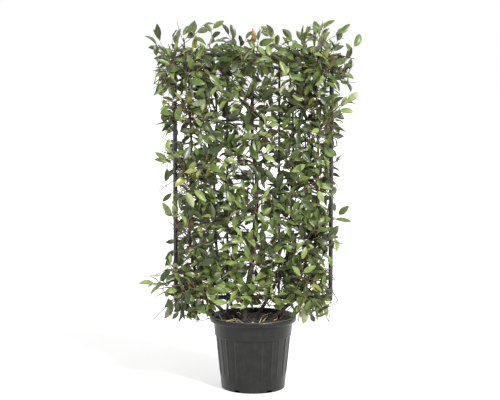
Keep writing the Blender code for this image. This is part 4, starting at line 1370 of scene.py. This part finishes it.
class MassGrower:
    """Grows one mass: a lead twig from its stem, side twigs, young shoots and their leaves."""

    def __init__(self, foliage: Foliage, layer: str, row: int, column: str, stem: str,
                 dice: random.Random) -> None:
        """Take the mass's place.

        Args:
            foliage: The crown that the mass belongs to.
            layer: "front" or "back".
            row: The row, counted from the lowest.
            column: "left", "middle" or "right".
            stem: The stem that carries it.
            dice: The source of its irregularity.
        """
        self.foliage = foliage
        self.growth = foliage.growth
        self.key = (layer, row, column)
        self.top_row = row == len(ROW_EDGES[layer, column]) - 2
        self.facing = -1.0 if layer == "front" else 1.0
        self.low, self.high = foliage.space(layer, row, column)
        self.stem = stem
        self.dice = dice
        self.twigs: list[list[Vector]] = []
        self.shoot_tips: list[Vector] = []
        self.high_shoots = 0

    def edge(self) -> tuple[float, float]:
        """How far the mass's leaves reach, apart from its long shoots.

        Returns:
            The left and the right edge across.
        """
        row = min(self.key[1], len(self.growth.left_edge) - 1)
        return -self.growth.left_edge[row], self.growth.right_edge[row]

    def inside(self, point: Vector, slack: float, long_shoot: bool = False) -> bool:
        """Whether a point lies in the mass's space, widened by a slack but never past the crown.

        Args:
            point: The point.
            slack: How far past the space it may lie.
            long_shoot: Whether it belongs to a long shoot, which grows past the other leaves.

        Returns:
            True if it does.
        """
        for axis in range(3):
            low = max(self.low[axis] - slack, CAD_BOX[0][axis])
            high = min(self.high[axis] + slack, CAD_BOX[1][axis])
            if axis == 0 and not long_shoot:
                low, high = max(low, self.edge()[0]), min(high, self.edge()[1])
            if axis == 1:
                depth = self.depth_share(point)
                low, high = max(low, CROWN_FRONT * depth), min(high, CROWN_BACK * depth)
            if axis == 2 and not long_shoot:
                over_pot = abs(point.x) < self.growth.pot_reach
                low = max(low, self.growth.lowest_over_pot if over_pot else self.growth.lowest)
            if not low <= point[axis] <= high:
                return False
        return True

    def depth_share(self, point: Vector) -> float:
        """How much of the crown's depth is filled: the outline swells and sinks.

        Args:
            point: The point to give it for.

        Returns:
            The share of the depth.
        """
        across, side, up = self.growth.depth_swells
        swell = noise.noise(Vector((point.x * across, self.facing * side, point.z * up)))
        return min(1.0, self.growth.depth_mean + self.growth.depth_spread * swell)

    def clear(self, start: Vector, end: Vector) -> bool:
        """Whether a straight run meets no limb or rod.

        Args:
            start: Where the run starts.
            end: Where it ends.

        Returns:
            True if nothing is in its way.
        """
        run = end - start
        return self.foliage.obstacles.ray_cast(start, run.normalized(), run.length)[0] is None

    def place(self, shares: list[float]) -> Vector:
        """A point of the space by its shares of the way from the lowest to the highest corner."""
        return Vector([low + (high - low) * share for low, high, share in zip(self.low, self.high, shares)])

    def area(self) -> float:
        """The area of the space as seen from the front."""
        return (self.high.x - self.low.x) * (self.high.z - self.low.z)

    def grow(self) -> None:
        """Grow the whole mass."""
        layer = self.key[0]
        self.grow_lead()
        self.grow_side_twigs()
        for tip_x, tip_z in LONG_SHOOTS.get(self.key, ()):
            self.grow_long_shoot(tip_x, tip_z, self.pick_tint())
        for tip_x, tip_z, tint in COLOURED_SHOOTS.get(self.key, ()):
            self.grow_long_shoot(tip_x, tip_z, tint)
        wanted = round(self.growth.leaves_per_square_metre[layer] * self.area())
        start = self.foliage.leaf_count
        rounds = 0
        while self.foliage.leaf_count - start < wanted and rounds < wanted:
            self.grow_shoot()
            rounds += 1

    def grow_lead(self) -> None:
        """The lead twig: square off its stem, then on to the far end of its space."""
        growth = self.growth
        if self.top_row:
            centre, radius, run = self.foliage.stems.point(self.stem, math.inf)
            outward = run
            root = centre - run * growth.top_lead_sink
            drop = growth.top_lead_tip_drop
        else:
            row = self.key[1]
            height = self.low.z + growth.lead_start_rise if row else growth.first_lead_height
            centre, radius, run = self.foliage.stems.point(self.stem, height)
            outward = Vector((0.0, self.facing, 0.0))
            outward = (outward - run * outward.dot(run)).normalized()
            root = centre + outward * radius * growth.lead_root_share
            drop = growth.lead_tip_drop
        tip = self.place([0.5, 0.5, 1.0]) - UP * drop
        knee = root + outward * growth.lead_knee
        middle = knee.lerp(tip, 0.5) + outward * growth.lead_bow
        self.add_twig(spline([root, knee, middle, tip], growth.lead_points), growth.lead_radius,
                      growth.lead_sides)

    def add_twig(self, path: list[Vector], radius: tuple[float, float], sides: int) -> None:
        """Add a woody twig that shoots can grow on.

        Args:
            path: Its centre line.
            radius: Its radius at its foot and tip.
            sides: How many sides it has.
        """
        self.foliage.woody.add(*tube(path, taper(*radius, len(path)), sides))
        self.twigs.append(path)

    def grow_side_twigs(self) -> None:
        """Side twigs that reach into the emptier parts of the space."""
        growth = self.growth
        count = round(self.area() / growth.side_twig_pitch ** 2 * growth.side_twig_share)
        lead = self.twigs[0]
        tips: list[Vector] = [lead[-1]]
        for _ in range(max(growth.fewest_side_twigs, count)):
            best = None
            for _ in range(growth.tries):
                root = lead[self.dice.randrange(2, len(lead) - 1)]
                aim = self.place([self.dice.uniform(*growth.side_aim) for _ in range(3)])
                room = min((aim - tip).length for tip in tips)
                too_high = aim.z > growth.thin_from
                too_short = (aim - root).length < growth.shortest_side_twig
                if too_high or too_short or not self.clear(root, aim):
                    continue
                if best is None or room > best[0]:
                    best = (room, root, aim)
            if best is None:
                continue
            _, root, tip = best
            rise = (tip - root).length * growth.side_rise
            middle = root.lerp(tip, 0.5) + UP * rise + self.jitter(growth.side_jitter)
            self.add_twig(spline([root, middle, tip], growth.side_points), growth.side_radius,
                          growth.side_sides)
            tips.append(tip)

    def hides_post(self, point: Vector) -> bool:
        """Whether a leaf there would hide one of the trellis's outer posts from the front."""
        return point.y < 0 and abs(abs(point.x) - self.growth.post_x) < self.growth.post_margin

    def jitter(self, amount: float) -> Vector:
        """A small random offset."""
        return Vector([self.dice.gauss(0, amount) for _ in range(3)])

    def lean(self, habit: Habit) -> Vector:
        """A random direction that follows a habit; "outward" is away from the trellis.

        Args:
            habit: Mean and spread across, outward and up.

        Returns:
            The direction, not of unit length.
        """
        (across, wide), (outward, deep), (up, high) = habit
        return Vector((self.dice.gauss(across, wide), self.dice.gauss(self.facing * outward, deep),
                       self.dice.gauss(up, high)))

    def pick_tint(self) -> Tint:
        """The tint of a spray: the tints' shares decide.

        Returns:
            The tint.
        """
        names = [tint for tint, _ in self.growth.tints]
        return self.dice.choices(names, [share for _, share in self.growth.tints])[0]

    def grow_shoot(self) -> None:
        """A young shoot into the emptiest place that the dice find, with its spray of leaves."""
        dice = self.dice
        growth = self.growth
        best = None
        for _ in range(growth.tries):
            twig = dice.choice(self.twigs)
            root = twig[dice.randrange(1, len(twig))]
            aim = self.lean(growth.shoot_aim)
            tip = root + aim.normalized() * dice.uniform(*growth.shoot_length)
            if not self.inside(tip, growth.shoot_slack) or not self.clear(root, tip):
                continue
            if tip.z > growth.thin_from and self.high_shoots >= growth.high_shoots[self.key[0]]:
                continue
            room = min([self.gap(tip - other) for other in self.shoot_tips] or [1.0])
            if best is None or room > best[0]:
                best = (room, root, tip)
        if best is not None:
            self.high_shoots += best[2].z > growth.thin_from
            self.add_shoot(best[1], best[2], self.pick_tint())

    def gap(self, offset: Vector) -> float:
        """Distance between two sprays as the front or back shows it, with less weight on depth."""
        return Vector((offset.x, offset.y * self.growth.depth_weight, offset.z)).length

    def grow_long_shoot(self, tip_x: float, tip_z: float, tint: Tint) -> None:
        """A long shoot whose end leaf reaches one of the crown's furthest points.

        Args:
            tip_x: The leaf tip's place across.
            tip_z: The leaf tip's height.
            tint: The tint of its leaves.
        """
        growth = self.growth
        length = sum(growth.leaf_length) / 2
        for _ in range(growth.long_shoot_tries):
            depth = self.place([0, self.dice.uniform(*growth.long_shoot_depth), 0]).y
            leaf_tip = Vector((tip_x, depth, tip_z))
            root = min(self.twigs, key=lambda twig: (twig[-1] - leaf_tip).length)[-2]
            reach = leaf_tip - root
            if reach.length < length * growth.long_shoot_least:
                root = self.twigs[0][len(self.twigs[0]) // 2]
                reach = leaf_tip - root
            tip = leaf_tip - reach.normalized() * length * growth.leaf_reach
            if self.clear(root, tip):
                self.add_shoot(root, tip, tint, leaf_tip)
                return

    def add_shoot(self, root: Vector, tip: Vector, tint: Tint, end_leaf_tip: Vector | None = None) -> None:
        """A shoot with leaves set spirally along it, which close towards its tip.

        Args:
            root: Where it leaves its twig.
            tip: Its growing point.
            tint: The tint of its leaves.
            end_leaf_tip: Where its last leaf's tip has to reach.
        """
        dice = self.dice
        growth = self.growth
        run = tip - root
        sag = UP * run.length * dice.uniform(*growth.shoot_sag)
        middle = root.lerp(tip, 0.5) - sag + self.jitter(growth.shoot_jitter)
        path = spline([root, middle, tip], growth.shoot_points)
        radii = taper(*growth.shoot_radius, growth.shoot_points)
        self.foliage.shoots.add(*tube(path, radii, growth.shoot_sides))
        self.shoot_tips.append(tip)
        axis = run.normalized()
        across = axis.orthogonal().normalized()
        other = axis.cross(across)
        turn = dice.uniform(0, 2 * math.pi)
        place = run.length * growth.bare_share
        if end_leaf_tip is not None:
            reach = end_leaf_tip - tip
            self.add_leaf(tip, reach.normalized(), tint, reach.length, True)
        spans = growth.shoot_points - 1
        while place < run.length:
            share = place / run.length
            closing = share ** growth.leaf_angle_bend
            angle = growth.leaf_angle_low + (growth.leaf_angle_tip - growth.leaf_angle_low) * closing
            angle += dice.gauss(0, growth.leaf_angle_spread)
            out = across * math.cos(turn) + other * math.sin(turn)
            along = axis * math.cos(angle) + out * math.sin(angle)
            span = min(int(share * spans), spans - 1)
            spot = path[span].lerp(path[span + 1], share * spans % 1)
            length = dice.uniform(*growth.leaf_length) * (1.0 - growth.leaf_shrink * share)
            self.add_leaf(spot, along, tint, length, end_leaf_tip is not None)
            turn += GOLDEN_ANGLE + dice.gauss(0, growth.leaf_turn_spread)
            place += dice.uniform(*growth.leaf_pitch)

    def add_leaf(self, root: Vector, along: Vector, tint: Tint, length: float,
                 long_shoot: bool = False) -> None:
        """A leaf, unless it would leave the space or touch a limb.

        Args:
            root: Where it leaves its shoot.
            along: The direction that it grows in.
            tint: Its tint.
            length: Its length with its stalk.
            long_shoot: Whether it grows on a long shoot.
        """
        dice = self.dice
        growth = self.growth
        wish = self.lean(growth.leaf_face)
        face = wish - along * wish.dot(along)
        if face.length < growth.least_face:
            return
        face.normalize()
        width = length * dice.uniform(*growth.leaf_width_share)
        side = along.cross(face) * width / 2
        curl = dice.gauss(*growth.curl)
        drop = face * length * math.sin(curl / 2) * growth.curl_drop
        tip = root + along * length * growth.leaf_reach - drop
        if not self.inside(tip, growth.slack, long_shoot):
            return
        middle = root.lerp(tip, 0.5) + drop * growth.middle_drop
        if self.hides_post(middle) and dice.random() < growth.post_shows:
            return
        outline = [root.lerp(tip, growth.outline_start), middle + side, tip, middle - side]
        if BVHTree.FromPolygons(outline, [(0, 1, 2, 3)]).overlap(self.foliage.obstacles):
            return
        fold = dice.uniform(*growth.fold_range)
        wave = dice.gauss(0, growth.wave_spread)
        form = LeafForm(length, width, curl, fold, wave, dice.gauss(0, growth.twist_spread))
        self.foliage.cutter.add(self.foliage.leaves[tint], root, along, face, form)
        self.foliage.leaf_count += 1


@dataclass
class Studio:
    """The pale floor, soft light and the camera at the photograph's viewing angle."""

    # The camera looks down a little; its pitch is in radians and its lens in millimetres
    camera_distance: float = 6.0
    camera_height: float = 1.4549
    camera_across: float = -0.0132
    camera_pitch: float = 0.1113
    lens: float = 105.37
    # The floor lies a little under the pot, so that the two never share a plane
    floor_size: float = 60.0
    floor_drop: float = 0.0005
    floor_glow: float = 0.40
    # The key light comes from the front right and the back light from the rear left; the
    # softness is the angle in degrees that a light fills as seen from the plant
    world_strength: float = 1.0
    key_strength: float = 5.4
    light_softness: float = 14.0
    key_direction: tuple[float, float, float] = (0.55, -0.75, 0.75)
    back_strength: float = 1.4
    back_direction: tuple[float, float, float] = (-0.55, 0.80, 0.70)

    def build(self) -> None:
        """Set the stage."""
        self.lay_floor()
        self.set_world()
        self.hang_light("key_light", self.key_direction, self.key_strength)
        self.hang_light("back_light", self.back_direction, self.back_strength)
        data = bpy.data.cameras.new("camera")
        data.lens = self.lens
        camera = bpy.data.objects.new("camera", data)
        camera.location = (self.camera_across, -self.camera_distance, self.camera_height)
        camera.rotation_euler = (math.pi / 2 - self.camera_pitch, 0.0, 0.0)
        bpy.context.scene.collection.objects.link(camera)
        bpy.context.scene.camera = camera

    def lay_floor(self) -> None:
        """A wide pale floor just under the pot; it glows a little, so that shadows stay faint."""
        shape = bmesh.new()
        bmesh.ops.create_grid(shape, x_segments=4, y_segments=4, size=self.floor_size / 2)
        mesh = bpy.data.meshes.new("studio_floor")
        shape.to_mesh(mesh)
        shape.free()
        material = bpy.data.materials.new("matt_white_floor")
        material.use_nodes = True
        tree = material.node_tree
        shader = tree.nodes["Principled BSDF"]
        speckle = add_node(tree, "ShaderNodeTexNoise", {"Scale": 3.0, "Detail": 2.0})
        ramp = add_node(tree, "ShaderNodeValToRGB", {"stops": ((0.3, "#b4b4b3"), (0.7, "#b8b8b7"))},
                        {"Fac": speckle.outputs["Fac"]})
        tree.links.new(ramp.outputs["Color"], shader.inputs["Base Color"])
        shader.inputs["Roughness"].default_value = 0.9
        shader.inputs["Emission Color"].default_value = linear("#ffffff")
        shader.inputs["Emission Strength"].default_value = self.floor_glow
        shader.inputs["Specular IOR Level"].default_value = 0.1
        mesh.materials.append(material)
        floor = bpy.data.objects.new("studio_floor", mesh)
        floor.location.z = -self.floor_drop
        bpy.context.scene.collection.objects.link(floor)

    def set_world(self) -> None:
        """Even white light from all round."""
        world = bpy.data.worlds.new("soft_white_world")
        world.use_nodes = True
        background = world.node_tree.nodes["Background"]
        background.inputs["Color"].default_value = linear("#ffffff")
        background.inputs["Strength"].default_value = self.world_strength
        bpy.context.scene.world = world

    def hang_light(self, name: str, direction: tuple[float, float, float], strength: float) -> None:
        """A wide soft light, far enough off to light the whole floor evenly.

        Args:
            name: Its name.
            direction: The direction in which it lies.
            strength: Its strength in watts for each square metre.
        """
        data = bpy.data.lights.new(name, "SUN")
        data.energy = strength
        data.angle = math.radians(self.light_softness)
        light = bpy.data.objects.new(name, data)
        light.rotation_euler = (-Vector(direction)).to_track_quat("-Z", "Y").to_euler()
        bpy.context.scene.collection.objects.link(light)


def main() -> None:
    """Build the plant in its pot on the stage."""
    logging.basicConfig(level=logging.INFO, format="%(name)s: %(message)s")
    bpy.context.scene.view_settings.view_transform = "Standard"
    Studio().build()
    pot = Pot()
    pot.build()
    Compost(pot).build()
    Trellis().build()
    stems = Stems()
    stems.build()
    Foliage(stems, Growth(), seed=5813).grow()


if __name__ == "__main__":
    main()
